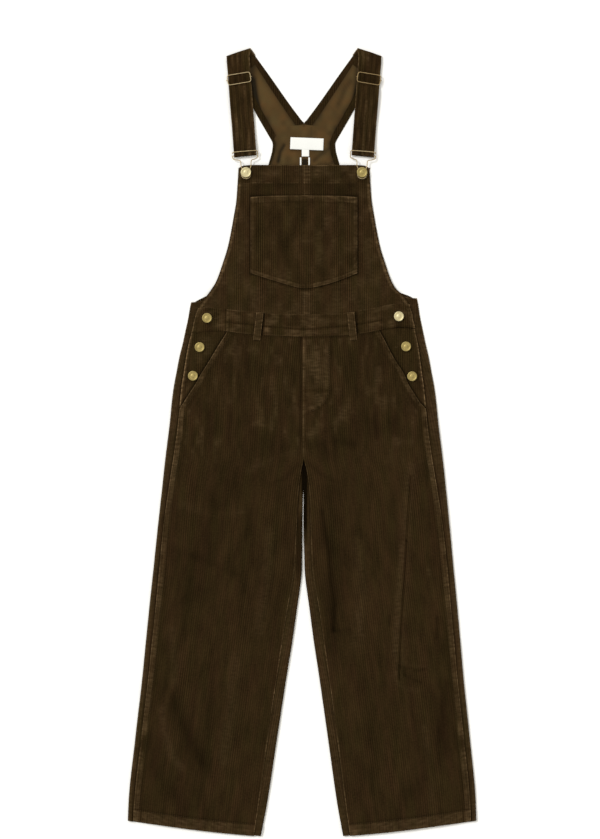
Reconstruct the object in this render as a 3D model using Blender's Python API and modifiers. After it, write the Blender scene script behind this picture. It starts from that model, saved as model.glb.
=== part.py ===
"""Bib overalls in corduroy, laid out flat on their back.

The garment lies on the plane z = 0 with its straps towards +Y, and the origin is under the
middle of its outline. Sizes here are in millimetres, and place() turns them into metres.
A half distance runs outwards from the garment's centre line, so one table serves the left
side (-X) and the right side (+X). Tables run from the straps down to the hems.
"""

import math
from collections import namedtuple

import bmesh
import bpy
from mathutils import Vector

MM = 0.001

# Cloth, and the gaps that keep neighbouring pieces apart.
CLOTH = 1.5
BAND_CLOTH = 2.1
LINING_CLOTH = 1.0
STRAP_CLOTH = 1.8
SEAM_GAP = 0.4
LAYER_GAP = 0.35

# Centre line: straight from the straps to the seat, then leaning towards the hems.
CENTRE_X = 3.5
LEAN_FROM_Y = -74.0
HEM_MIDDLE_Y = -676.9
HEM_SLANT = 26.6
HEM_SLANT_FROM_Y = 0.0
HEM_SLANT_FULL_Y = -400.0

# Body below the waist. fold and inner are the outline's sides, edge and inseam the front
# panel's sides; the tops are how high the cloth stands there and in the panel's middle.
Body = namedtuple("Body", "y fold edge inner inseam fold_top edge_top inner_top inseam_top middle_top")
BODY = (
    Body(250, 196.9, 176.0, 0.2, 0.2, 3.6, 5.6, 3.6, 6.5, 6.5),
    Body(237, 199.7, 184.2, 0.2, 0.2, 3.6, 5.6, 3.6, 6.5, 6.5),
    Body(218, 202.9, 190.5, 0.2, 0.2, 3.6, 5.6, 3.6, 6.5, 6.5),
    Body(200, 206.9, 194.0, 0.2, 0.2, 3.6, 5.6, 3.6, 6.5, 6.6),
    Body(176, 211.9, 199.9, 0.2, 0.2, 3.6, 5.6, 3.6, 6.5, 6.7),
    Body(150, 217.9, 204.3, 0.2, 0.2, 3.6, 5.6, 3.6, 6.5, 6.8),
    Body(122, 223.2, 208.2, 0.2, 0.2, 3.6, 5.6, 3.6, 6.5, 6.9),
    Body(94, 228.4, 212.4, 0.2, 0.2, 3.7, 5.6, 3.6, 6.5, 6.9),
    Body(66, 231.9, 215.1, 0.2, 0.2, 4.2, 5.6, 3.6, 6.5, 6.9),
    Body(38, 234.5, 217.4, 0.2, 0.2, 5.6, 5.6, 3.6, 6.5, 6.9),
    Body(-27, 242.5, 226.2, 0.2, 0.2, 5.6, 5.6, 3.6, 6.2, 6.9),
    Body(-50, 245.1, 229.8, 0.2, 5.0, 5.6, 5.6, 3.6, 5.7, 6.9),
    Body(-84, 248.7, 234.5, 1.3, 9.5, 5.6, 5.6, 3.7, 5.6, 6.9),
    Body(-150, 255.6, 242.0, 1.8, 12.4, 5.6, 5.6, 5.2, 5.6, 6.9),
    Body(-214, 261.9, 249.6, 2.0, 15.0, 5.6, 5.6, 5.6, 5.6, 6.9),
    Body(-298, 270.4, 258.6, 11.7, 28.5, 5.6, 5.6, 5.6, 5.6, 6.9),
    Body(-354, 275.7, 264.8, 19.4, 36.8, 5.6, 5.6, 5.6, 5.6, 6.9),
    Body(-410, 280.9, 270.2, 28.3, 45.2, 5.6, 5.6, 5.6, 5.6, 6.9),
    Body(-522, 293.2, 282.6, 44.9, 61.0, 5.6, 5.6, 5.6, 5.6, 6.9),
    Body(-634, 304.1, 294.1, 61.5, 76.0, 5.6, 5.6, 5.6, 5.6, 6.8),
    Body(-689, 305.5, 296.0, 71.8, 84.0, 5.4, 5.4, 5.4, 5.4, 6.4),
)
EDGE_REACH = 16.0
SEAM_ALLOWANCE = 7.0

# Across the hips the front lies a little to the left of the folds at its sides.
HIP_SHIFT = 3.7
HIP_SHIFT_TOP_Y = 230.0
HIP_SHIFT_FADE_UP = 130.0
HIP_SHIFT_FOOT_Y = -280.0
HIP_SHIFT_FADE_DOWN = 270.0
HIP_SHIFT_MIDDLE = 0.45

# Seams that cross the body, as heights over the half distance.
Across = namedtuple("Across", "half y")
WAIST_TOP = (Across(0, 223.0), Across(45, 223.4), Across(72, 225.4), Across(98, 229.6),
             Across(126, 233.0), Across(153, 237.2), Across(170, 238.4), Across(186, 236.8))
WAIST_BOTTOM = (Across(0, 183.5), Across(45, 185.2), Across(71, 186.2), Across(98, 189.2),
                Across(115, 191.6), Across(136, 195.4), Across(160, 195.8), Across(196, 192.0))
FRONT_TOP_Y = 189.0
WAIST_BOW_FADE = 110.0
BACK_TOP_Y = 184.6

# Slanted pocket mouth, from the waistband out to the side.
Mouth = namedtuple("Mouth", "y half")
POCKET_MOUTH = (Mouth(196, 135.0), Mouth(160.6, 156.0), Mouth(140.8, 166.5), Mouth(106, 189.0),
                Mouth(66, 214.9))
FACING_FOOT_Y = 72.0
FACING_DROP = 1.0

# Main folds of the front: a line of points, how far it stands up or dips, and its width.
Fold = namedtuple("Fold", "points rise width")
FOLDS = (
    Fold(((190, -42), (180, -131), (178, -198), (174, -254), (170, -331), (166, -413)), 1.8, 9.0),
    Fold(((54, -84), (56, -200), (52, -365)), -1.3, 17.0),
    Fold(((250, -434), (243, -548), (199, -615)), -1.6, 18.0),
    Fold(((-237, -436), (-219, -480), (-197, -525), (-174, -570)), -1.6, 18.0),
    Fold(((-268, -525), (-254, -581), (-206, -637)), -1.4, 16.0),
    Fold(((-120, -60), (-165, -150), (-190, -260)), -1.0, 22.0),
    Fold(((40, -20), (110, 20), (165, 40)), -1.0, 18.0),
    Fold(((-40, -20), (-105, 25), (-160, 50)), -1.0, 18.0),
)

# Bib.
Bib = namedtuple("Bib", "y edge edge_top middle_top")
BIB = (
    Bib(484, 113.4, 2.6, 6.8), Bib(451, 115.5, 2.6, 6.8), Bib(423, 117.5, 2.6, 6.8),
    Bib(395, 122.0, 2.6, 6.8), Bib(367, 127.0, 2.6, 6.8), Bib(339, 133.0, 2.7, 6.8),
    Bib(311, 141.8, 3.2, 6.8), Bib(283, 151.5, 4.4, 6.7), Bib(269, 159.3, 5.1, 6.6),
    Bib(255, 171.5, 5.6, 6.5), Bib(247, 177.4, 5.6, 6.5), Bib(237, 184.2, 5.6, 6.5),
)
BIB_REACH = 30.0
BIB_COLUMNS = 12
BIB_TOP = (Across(0, 484.0), Across(90, 484.4), Across(106, 483.2), Across(114, 479.4))
BIB_BAND_Y = 452.0
BAND_RISE = BAND_CLOTH - CLOTH

# Bib pocket, with a turned hem at its mouth and a pointed foot.
POCKET_HALF = 94.0
POCKET_TOP = (Across(0, 431.6), Across(60, 430.4), Across(94, 427.6))
POCKET_CORNER_Y = 295.0
POCKET_POINT_Y = 268.5
POCKET_MOUTH_RISE = 0.6

# Belt loops: half distance of the middle at the top and the foot.
BELT_LOOP_WIDTH = 12.5
BELT_LOOP_TOP = (79.4, 229.0)
BELT_LOOP_FOOT = (84.8, 177.5)

# Back waistband and the two halves of the back yoke.
BACK_WAIST_CLOTH = 2.4
BACK_WAIST_PEAK_Y = 250.0
BACK_WAIST_FALL = 0.0305
Yoke = namedtuple("Yoke", "outer outer_y inner inner_y")
YOKE = (
    Yoke(127.2, 662.3, 87.5, 676.5), Yoke(106.0, 619.0, 59.5, 638.0), Yoke(84.9, 577.0, 26.3, 591.0),
    Yoke(70.0, 553.0, 6.2, 563.0), Yoke(62.0, 540.0, 0.2, 554.5), Yoke(54.2, 521.0, 0.2, 530.0),
    Yoke(55.1, 510.0, 0.2, 512.0), Yoke(62.5, 484.0, 0.2, 484.0), Yoke(70.0, 451.0, 0.2, 451.0),
    Yoke(95.0, 367.0, 0.2, 367.0), Yoke(120.0, 311.0, 0.2, 311.0), Yoke(150.0, 269.0, 0.2, 275.0),
    Yoke(190.0, 244.6, 0.2, 250.4),
)
Lining = namedtuple("Lining", "outer outer_y inner inner_y")
LINING = (
    Lining(103.0, 636.0, 83.0, 656.0), Lining(94.0, 614.0, 69.5, 633.0), Lining(74.9, 574.0, 36.5, 586.0),
    Lining(60.5, 550.0, 16.0, 562.0), Lining(52.5, 537.0, 0.2, 553.5), Lining(45.5, 521.0, 0.2, 530.0),
    Lining(46.5, 508.0, 0.2, 510.0), Lining(54.0, 484.0, 0.2, 484.0), Lining(58.5, 462.0, 0.2, 462.0),
)
LINING_TOP = CLOTH + LAYER_GAP + LINING_CLOTH
TRIM_TOP = LINING_TOP + LAYER_GAP + LINING_CLOTH

# Label, size tab and hanger loop: middle, width and height in plan.
Patch = namedtuple("Patch", "x y width height turn")
LABEL = Patch(4.4, 521.8, 58.0, 21.0, -0.025)
SIZE_TAB = Patch(2.2, 504.4, 13.0, 12.6, 0.0)
HANGER_TAPE = 3.6
HANGER_HALF = 7.1
HANGER_TOP_Y = 497.6
HANGER_FOOT_Y = 478.0

# Straps. The shoulder fold runs from its outer to its inner end; below it each row of the
# front strap has a height in the garment, the level of the cloth's middle, and a slope.
SHOULDER_OUTER = (136.0, 674.5)
SHOULDER_INNER = (96.3, 688.7)
STRAP_HALF_WIDTH = 19.3
STRAP_END_MIDDLE = (102.9, 499.2)
BACK_STRAP_DIRECTION = (0.584, 0.81)
BACK_STRAP_LENGTH = 14.0
Strap = namedtuple("Strap", "y level slope")
STRAP = (
    Strap(672.0, 4.9, 0.345), Strap(658.0, 4.7, 0.24), Strap(646.5, 4.3, 0.17), Strap(641.7, 4.4, 0.17),
    Strap(638.0, 6.2, 0.17), Strap(635.5, 6.5, 0.17), Strap(633.0, 6.2, 0.17), Strap(629.3, 4.4, 0.17),
    Strap(624.5, 4.4, 0.17), Strap(618.0, 6.2, 0.165), Strap(600.0, 6.1, 0.15), Strap(575.0, 5.2, 0.14),
    Strap(550.0, 4.5, 0.12), Strap(525.0, 5.2, 0.11), Strap(511.0, 6.6, 0.105), Strap(502.2, 6.7, 0.10),
)
STRAP_RETURN = (
    Strap(502.2, 2.1, 0.10), Strap(525.0, 2.0, 0.11), Strap(550.0, 2.1, 0.12), Strap(575.0, 3.0, 0.14),
    Strap(600.0, 4.0, 0.15), Strap(615.0, 4.0, 0.165),
)
TURN_STEPS = 4

# Wire hardware.
WIRE_RADIUS = 1.1
SLIDER_Y = 635.5
SLIDER_SLOPE = 0.17
SLIDER_HALF_LENGTH = 21.3
SLIDER_HALF_HEIGHT = 8.55
SLIDER_CORNER = 4.0
SLIDER_LEVEL = 6.75
SLIDER_BAR_LEVEL = 4.2
SLIDER_BAR_HALF = 24.0
BIB_BUTTON = (101.5, 471.2)
CLIP_SLOPE = 0.1
CLIP_SLOPE_FROM = 12.0
CLIP_SLOPE_FULL = 31.0
# One bent wire: bar in the strap's end, down one side, round the button, up the other side
# and over the strap. across runs outwards, up from the button, level is above the floor.
Bend = namedtuple("Bend", "across up level")
CLIP_BAR = (Bend(-19.2, 31.0, 4.4), Bend(0.0, 31.0, 4.4), Bend(19.6, 31.0, 4.4), Bend(22.2, 29.6, 4.6))
CLIP_SIDE = (Bend(21.0, 25.0, 5.4), Bend(15.5, 22.6, 6.1), Bend(10.8, 21.4, 6.6), Bend(9.0, 18.0, 7.1),
             Bend(8.8, 12.0, 7.4), Bend(7.2, 7.2, 7.4), Bend(5.7, 3.4, 7.4), Bend(6.8, -0.9, 7.4),
             Bend(7.7, -4.5, 7.4), Bend(5.6, -9.7, 7.4))
CLIP_FOOT = Bend(0.0, -12.1, 7.4)
CLIP_TOP = (Bend(-22.6, 29.5, 6.0), Bend(-22.6, 34.0, 7.6), Bend(-19.8, 37.2, 8.9), Bend(0.0, 37.4, 9.05),
            Bend(19.8, 37.2, 8.9), Bend(22.6, 34.4, 7.9))

# Shank buttons: a turned profile over the cloth that they stand on.
Turn = namedtuple("Turn", "radius up")
BUTTON_CAP = (Turn(0.0, 2.9), Turn(6.0, 2.6), Turn(8.7, 1.8), Turn(9.2, 0.8), Turn(8.4, 0.0))
BUTTON_NECK_RADIUS = 3.5
BUTTON_FLANGE_RADIUS = 5.5
BUTTON_FLANGE = 0.6
BIB_NECK = 2 * WIRE_RADIUS + 2 * LAYER_GAP
HIP_NECK = 0.6
BUTTON_STEPS = 16
HIP_BUTTONS = ((168.0, 218.0), (180.5, 166.4), (191.7, 115.4))

CORDUROY = (0.028, 0.017, 0.006)
LINING_BROWN = (0.089, 0.053, 0.020)
TAPE_WHITE = (0.93, 0.94, 0.91)
BRASS = (0.52, 0.42, 0.19)

SIDES = (("l", -1), ("r", 1))


def blend(low, high, share):
    """Value between low and high, straight."""
    return low + (high - low) * share


def ease(share):
    """Share from 0 to 1, clamped, with level ends."""
    share = min(max(share, 0.0), 1.0)
    return share * share * (3.0 - 2.0 * share)


def read(table, column, key, at):
    """Column of a table at a value of its key, by a cubic that never overshoots the rows."""
    rows = sorted(table, key=lambda row: getattr(row, key))
    keys = [getattr(row, key) for row in rows]
    values = [getattr(row, column) for row in rows]
    if at <= keys[0]:
        return values[0]
    if at >= keys[-1]:
        return values[-1]
    steps = [(values[i + 1] - values[i]) / (keys[i + 1] - keys[i]) for i in range(len(rows) - 1)]

    def tangent(i):
        if i == 0 or i == len(rows) - 1:
            return steps[min(i, len(steps) - 1)]
        before, after = steps[i - 1], steps[i]
        return 2.0 * before * after / (before + after) if before * after > 0.0 else 0.0

    i = max(k for k in range(len(rows) - 1) if keys[k] <= at)
    span = keys[i + 1] - keys[i]
    t = (at - keys[i]) / span
    return ((2 * t**3 - 3 * t**2 + 1) * values[i] + (t**3 - 2 * t**2 + t) * span * tangent(i)
            + (3 * t**2 - 2 * t**3) * values[i + 1] + (t**3 - t**2) * span * tangent(i + 1))


def body(column, y):
    return read(BODY, column, "y", y)


def across(table, half):
    return read(table, "y", "half", abs(half))


def centre(y):
    """Where the garment's centre line lies at a height in the garment."""
    share = (LEAN_FROM_Y - y) / (LEAN_FROM_Y - HEM_MIDDLE_Y)
    return CENTRE_X * (1.0 - min(max(share, 0.0), 1.0))


def hip_shift(half, y):
    """How far to the left a point lies across the hips. The folds at the sides stay."""
    down = ease((HIP_SHIFT_TOP_Y - y) / HIP_SHIFT_FADE_UP)
    down *= ease((y - HIP_SHIFT_FOOT_Y) / HIP_SHIFT_FADE_DOWN)
    middle = HIP_SHIFT_MIDDLE * ease((y + 60.0) / 60.0)
    share = blend(middle, 1.0, ease((half - 60.0) / 80.0))
    past = (half - body("edge", y)) / (body("fold", y) - body("edge", y))
    return HIP_SHIFT * down * share * (1.0 - ease(past))


def place(side, half, y, level):
    """Point in metres, on the left (-1) or right (1) of the centre line."""
    return Vector((centre(y) - hip_shift(half, y) + side * half, y, level)) * MM


def fold_rise(x, y):
    """How far the main folds lift or lower the front at a point beside the centre line."""
    total = 0.0
    for fold in FOLDS:
        nearest = min(segment_distance(x, y, a, b) for a, b in zip(fold.points, fold.points[1:]))
        total += fold.rise * math.exp(-(nearest / fold.width) ** 2)
    return total


def segment_distance(x, y, start, end):
    """Distance in plan from a point to a straight stretch."""
    run_x, run_y = end[0] - start[0], end[1] - start[1]
    share = ((x - start[0]) * run_x + (y - start[1]) * run_y) / (run_x**2 + run_y**2)
    share = min(max(share, 0.0), 1.0)
    return math.hypot(x - start[0] - share * run_x, y - start[1] - share * run_y)


def front_level(side, half, y):
    """Top of the front cloth below the bib: a low crown that drops to its side and inseam."""
    middle = body("middle_top", y)
    side_drop = (middle - body("edge_top", y)) * math.exp(-max(body("edge", y) - half, 0.0) / EDGE_REACH)
    inner_drop = (middle - body("inseam_top", y)) * math.exp(-max(half - body("inseam", y), 0.0) / EDGE_REACH)
    return middle - side_drop - inner_drop + fold_rise(side * half, y)


def bib_level(half, y):
    """Top of the bib: it lies on the floor at its sides and on the yoke in its middle."""
    middle = read(BIB, "middle_top", "y", y)
    edge_top = read(BIB, "edge_top", "y", y)
    inset = max(read(BIB, "edge", "y", y) - abs(half), 0.0)
    return middle - (middle - edge_top) * math.exp(-inset / BIB_REACH)


def collection():
    """The garment's own collection."""
    group = bpy.data.collections.get("bib_overalls")
    if group is None:
        group = bpy.data.collections.new("bib_overalls")
        bpy.context.scene.collection.children.link(group)
    return group


def add(name, data, colour, roughness=0.9, metallic=0.0):
    """Object with its own finish, in the garment's collection."""
    finish = bpy.data.materials.new(name)
    finish.use_nodes = True
    shader = finish.node_tree.nodes["Principled BSDF"]
    shader.inputs["Base Color"].default_value = (*colour, 1.0)
    shader.inputs["Roughness"].default_value = roughness
    shader.inputs["Metallic"].default_value = metallic
    data.materials.append(finish)
    piece = bpy.data.objects.new(name, data)
    collection().objects.link(piece)
    return piece


def cloth(name, rows, wall, colour=CORDUROY, turned=False, offset=-1.0):
    """Panel through rows of points, listed from the straps down and from -X to +X, or the
    other way where turned. Its wall is added on the side that faces inwards."""
    shape = bmesh.new()
    grid = [[shape.verts.new(point) for point in (reversed(row) if turned else row)] for row in rows]
    for upper, lower in zip(grid, grid[1:]):
        for i in range(len(upper) - 1):
            shape.faces.new((upper[i], lower[i], lower[i + 1], upper[i + 1]))
    mesh = bpy.data.meshes.new(name)
    shape.to_mesh(mesh)
    shape.free()
    mesh.shade_smooth()
    piece = add(name, mesh, colour)
    solidify = piece.modifiers.new("wall", "SOLIDIFY")
    solidify.thickness = wall * MM
    solidify.offset = offset
    return piece


def shares(count):
    """Even shares from 0 to 1."""
    return [i / count for i in range(count + 1)]


def leg_heights(top):
    """Heights of a leg's rows, from its top to the hem."""
    count = 30
    return [blend(top, HEM_MIDDLE_Y, share) for share in shares(count)]


def slant(y):
    """How much lower a row ends at the inseam than at the outseam."""
    return HEM_SLANT * ease((HEM_SLANT_FROM_Y - y) / (HEM_SLANT_FROM_Y - HEM_SLANT_FULL_Y))


def leg_front(tag, side):
    """Front leg: from the waistband to the hem, cut away at the pocket mouth."""
    def row(y):
        bow = max(1.0 - (FRONT_TOP_Y - y) / WAIST_BOW_FADE, 0.0)

        def height(half, share):
            return y + bow * (across(WAIST_BOTTOM, half) - FRONT_TOP_Y - SEAM_GAP) + (0.5 - share) * slant(y)

        outer = POCKET_MOUTH[0].half
        for _ in range(6):
            outer_y = height(outer, 0.0)
            outer = body("edge", outer_y)
            if outer_y > POCKET_MOUTH[-1].y:
                outer = min(outer, read(POCKET_MOUTH, "half", "y", outer_y))
        inner = body("inseam", height(0.0, 1.0))
        points = []
        for share in shares(13):
            half = blend(outer, inner, share)
            at = height(half, share)
            points.append(place(side, half, at, front_level(side, half, at)))
        return points

    cloth("leg_front_" + tag, [row(y) for y in leg_heights(FRONT_TOP_Y)], CLOTH, turned=side > 0)


def hip_facing(tag, side):
    """Pocket facing: fills the cut-away between the pocket mouth and the side opening."""
    rows = []
    for down in shares(6):
        row = []
        for share in shares(4):
            side_y = blend(across(WAIST_BOTTOM, 196) - SEAM_GAP, FACING_FOOT_Y, down)
            mouth_y = blend(across(WAIST_BOTTOM, 136) - SEAM_GAP, FACING_FOOT_Y, down)
            y = blend(side_y, mouth_y, share)
            mouth = read(POCKET_MOUTH, "half", "y", mouth_y) + SEAM_GAP
            half = blend(body("edge", side_y), mouth, share)
            row.append(place(side, half, y, front_level(side, half, y) - FACING_DROP))
        rows.append(row)
    cloth("hip_facing_" + tag, rows, CLOTH, turned=side > 0)


def back_section(side, y):
    """Outer face of a back leg across one row: from the outseam round the side fold, along
    the floor and round the inner fold to the inseam."""
    outer_y, inner_y = y + slant(y) / 2, y - slant(y) / 2
    fold, edge, fold_top = (body(column, outer_y) for column in ("fold", "edge", "fold_top"))
    inner, inseam, inner_top = (body(column, inner_y) for column in ("inner", "inseam", "inner_top"))
    radius, inner_radius = fold_top / 2, inner_top / 2
    path = [(edge + SEAM_GAP, fold_top), (blend(edge + SEAM_GAP, fold - radius, 0.5), fold_top)]
    for share in shares(4):
        angle = math.pi * (0.5 - share)
        path.append((fold - radius + radius * math.cos(angle), radius + radius * math.sin(angle)))
    for share in shares(4)[1:-1]:
        path.append((blend(fold - radius, inner + inner_radius, share), 0.0))
    for share in shares(4):
        angle = -math.pi * (0.5 + share)
        path.append((inner + inner_radius + inner_radius * math.cos(angle),
                     inner_radius + inner_radius * math.sin(angle)))
    path.append((max(inseam - SEAM_GAP, inner + SEAM_ALLOWANCE), inner_top))
    return [place(side, half, blend(inner_y, outer_y, (half - inner) / (fold - inner)), level)
            for half, level in path]


def leg_back(tag, side):
    """Back leg and seat: flat on the floor, folded up round both sides of the leg."""
    rows = [back_section(side, y) for y in leg_heights(BACK_TOP_Y)]
    cloth("leg_back_" + tag, rows, CLOTH, turned=side < 0)


def waistband_front():
    """Front waistband, over the whole width between the side openings."""
    rows = []
    for down in shares(3):
        row = []
        for share in shares(2 * BIB_COLUMNS):
            reach = 2.0 * share - 1.0
            y = blend(236.0, 192.0, down)
            half = abs(reach) * body("edge", y)
            y = blend(across(WAIST_TOP, half) - SEAM_GAP / 2, across(WAIST_BOTTOM, half) + SEAM_GAP / 2, down)
            half = abs(reach) * body("edge", y)
            side = math.copysign(1.0, reach)
            row.append(place(side, half, y, front_level(side, half, y) + BAND_RISE))
        rows.append(row)
    cloth("waistband_front", rows, BAND_CLOTH)


def waistband_back():
    """Back waistband, flat on the floor; its ends show beside the front."""
    rows = []
    for down in shares(2):
        row = []
        for share in shares(12):
            reach = 2.0 * share - 1.0
            top_y = BACK_WAIST_PEAK_Y - BACK_WAIST_FALL * abs(reach) * body("fold", 244)
            y = blend(top_y, BACK_TOP_Y + SEAM_GAP, down)
            row.append(place(math.copysign(1.0, reach), abs(reach) * body("fold", y), y, BACK_WAIST_CLOTH))
        rows.append(row)
    cloth("waistband_back", rows, BACK_WAIST_CLOTH)


def bib_point(side, share, top, bottom, down, rise=0.0):
    """Point of the bib: share runs from its side edge to its centre, down from top to bottom."""
    half = read(BIB, "edge", "y", blend(top(114), bottom(185), down)) * (1.0 - share)
    for _ in range(5):
        y = blend(top(half), bottom(half), down)
        half = max(read(BIB, "edge", "y", y) * (1.0 - share), 0.2)
    return place(side, half, y, bib_level(half, y) + rise)


def bib_front(tag, side):
    """Half of the bib, from its top band to the waistband."""
    def bottom(half):
        return across(WAIST_TOP, half) + SEAM_GAP / 2

    def top(half):
        return BIB_BAND_Y - SEAM_GAP / 2

    rows = [[bib_point(side, share, top, bottom, down) for share in shares(BIB_COLUMNS)]
            for down in shares(10)]
    cloth("bib_front_" + tag, rows, CLOTH, turned=side > 0)


def bib_top_band():
    """Turned band along the bib's top edge, in one length from side to side."""
    def top(half):
        return across(BIB_TOP, half)

    def bottom(half):
        return BIB_BAND_Y + SEAM_GAP / 2

    rows = []
    for down in shares(3):
        left = [bib_point(-1, share, top, bottom, down, BAND_RISE) for share in shares(BIB_COLUMNS)][:-1]
        right = [bib_point(1, share, top, bottom, down, BAND_RISE) for share in shares(BIB_COLUMNS)][:-1]
        rows.append(left + right[::-1])
    cloth("bib_top_band", rows, BAND_CLOTH)


def bib_pocket():
    """Patch pocket with a pointed foot. Its mouth stands a little away from the bib."""
    rows = []
    for down in shares(8):
        row = []
        for share in shares(12):
            x = blend(-POCKET_HALF, POCKET_HALF, share)
            foot = blend(POCKET_POINT_Y, POCKET_CORNER_Y, abs(x) / POCKET_HALF)
            y = blend(across(POCKET_TOP, x), foot, down)
            mouth = POCKET_MOUTH_RISE * (1.0 - ease(3.0 * down)) * math.cos(math.pi * x / (2.0 * POCKET_HALF))
            row.append(place(1, x, y, bib_level(x, y) + LAYER_GAP + CLOTH + mouth))
        rows.append(row)
    cloth("bib_pocket", rows, CLOTH)


def belt_loop(tag, side):
    """Belt loop over the waistband, its foot on the front leg."""
    rows = []
    for down in shares(6):
        middle = blend(BELT_LOOP_TOP[0], BELT_LOOP_FOOT[0], down)
        y = blend(BELT_LOOP_TOP[1], BELT_LOOP_FOOT[1], down)
        base = BAND_RISE + LAYER_GAP + CLOTH
        row = [place(side, half, y, front_level(side, half, y) + base)
               for half in (middle + BELT_LOOP_WIDTH / 2, middle, middle - BELT_LOOP_WIDTH / 2)]
        rows.append(row)
    cloth("belt_loop_" + tag, rows, CLOTH, turned=side > 0)


def four_sided(name, table, side, columns, level, wall, colour=CORDUROY):
    """Flat panel whose rows run from an outer edge to an inner edge."""
    rows = []
    for row in table:
        rows.append([place(side, blend(row.outer, row.inner, share),
                           blend(row.outer_y, row.inner_y, share), level) for share in shares(columns)])
    cloth(name, rows, wall, colour, turned=side > 0)


def patch(name, size, top):
    """Woven patch on the lining."""
    shape = bmesh.new()
    bmesh.ops.create_cube(shape, size=1.0)
    bmesh.ops.scale(shape, verts=shape.verts, vec=Vector((size.width, size.height, LINING_CLOTH)) * MM)
    mesh = bpy.data.meshes.new(name)
    shape.to_mesh(mesh)
    shape.free()
    piece = add(name, mesh, TAPE_WHITE, roughness=0.7)
    piece.location = place(1, size.x, size.y, top - LINING_CLOTH / 2)
    piece.rotation_euler.z = size.turn


def hanger_loop():
    """Loop of narrow tape: two lengths side by side that meet behind the bib."""
    outer = HANGER_HALF + HANGER_TAPE / 2
    inner = HANGER_HALF - HANGER_TAPE / 2
    bend_y = HANGER_FOOT_Y + outer
    outline = [(-outer, HANGER_TOP_Y)]
    outline += [(-outer * math.cos(math.pi * share), bend_y - outer * math.sin(math.pi * share))
                for share in shares(8)]
    outline += [(outer, HANGER_TOP_Y), (inner, HANGER_TOP_Y)]
    outline += [(inner * math.cos(math.pi * share), bend_y - inner * math.sin(math.pi * share))
                for share in shares(8)]
    outline += [(-inner, HANGER_TOP_Y)]
    curve = bpy.data.curves.new("hanger_loop", "CURVE")
    curve.dimensions = "2D"
    curve.fill_mode = "BOTH"
    curve.extrude = LINING_CLOTH / 2 * MM
    spline = curve.splines.new("POLY")
    spline.points.add(len(outline) - 1)
    for point, (x, y) in zip(spline.points, outline):
        point.co = (x * MM, y * MM, 0.0, 1.0)
    spline.use_cyclic_u = True
    piece = add("hanger_loop", curve, TAPE_WHITE, roughness=0.7)
    piece.location = (CENTRE_X + 1.6) * MM, 0.0, (TRIM_TOP - LINING_CLOTH / 2) * MM


def strap_middle(y):
    """Half distance of a front strap's middle line."""
    top_x = (SHOULDER_OUTER[0] + SHOULDER_INNER[0]) / 2
    top_y = (SHOULDER_OUTER[1] + SHOULDER_INNER[1]) / 2
    return blend(top_x, STRAP_END_MIDDLE[0], (top_y - y) / (top_y - STRAP_END_MIDDLE[1]))


def strap_row(side, middle, slope, level):
    """Row across a strap, from its outer to its inner edge, higher at the inner edge."""
    return [place(side, middle[0] + reach, middle[1] - slope * reach, level)
            for reach in (STRAP_HALF_WIDTH, 0.0, -STRAP_HALF_WIDTH)]


def strap_front(tag, side):
    """Strap from behind the shoulder fold, through the slider, round the clip's bar and back."""
    shoulder = Vector((SHOULDER_OUTER[0] + SHOULDER_INNER[0], SHOULDER_OUTER[1] + SHOULDER_INNER[1])) / 2
    fold_line = (Vector(SHOULDER_INNER) - Vector(SHOULDER_OUTER)).normalized()
    outwards = Vector((fold_line.y, -fold_line.x))
    back = Vector(BACK_STRAP_DIRECTION)
    back = back / back.dot(outwards)
    fold_slope = -fold_line.y / fold_line.x
    low, high = STRAP_CLOTH / 2, STRAP[0].level
    radius = (high - low) / 2
    pivot = low + radius
    rows = []
    for share in (1.0, 0.5):
        rows.append(strap_row(side, shoulder - back * BACK_STRAP_LENGTH * share, fold_slope, low))
    for share in shares(TURN_STEPS):
        angle = math.pi * (share - 0.5)
        middle = shoulder - outwards * (pivot - radius * math.cos(angle))
        rows.append(strap_row(side, middle, fold_slope, pivot + radius * math.sin(angle)))
    rows += [strap_row(side, (strap_middle(row.y), row.y), row.slope, row.level) for row in STRAP]
    last, first = STRAP[-1], STRAP_RETURN[0]
    end_radius = (last.level - first.level) / 2
    for share in shares(TURN_STEPS)[1:-1]:
        angle = math.pi * (0.5 - share)
        y = last.y - end_radius * math.cos(angle)
        level = first.level + end_radius * (1.0 + math.sin(angle))
        rows.append(strap_row(side, (strap_middle(y), y), last.slope, level))
    rows += [strap_row(side, (strap_middle(row.y), row.y), row.slope, row.level) for row in STRAP_RETURN]
    cloth("strap_front_" + tag, rows, STRAP_CLOTH, turned=side > 0, offset=0.0)


def wire(name, points, cyclic=False):
    """Brass wire through the points."""
    curve = bpy.data.curves.new(name, "CURVE")
    curve.dimensions = "3D"
    curve.bevel_depth = WIRE_RADIUS * MM
    curve.bevel_resolution = 2
    curve.use_fill_caps = not cyclic
    spline = curve.splines.new("POLY")
    spline.points.add(len(points) - 1)
    for vertex, point in zip(spline.points, points):
        vertex.co = (*point, 1.0)
    spline.use_cyclic_u = cyclic
    return add(name, curve, BRASS, roughness=0.3, metallic=1.0)


def on_strap(side, middle, slope, reach, up, level):
    """Point beside a place on the strap, with reach outwards along the strap's rows."""
    length = math.hypot(1.0, slope)
    half = middle[0] + (reach + up * slope) / length
    y = middle[1] + (up - reach * slope) / length
    return place(side, half, y, level)


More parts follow.
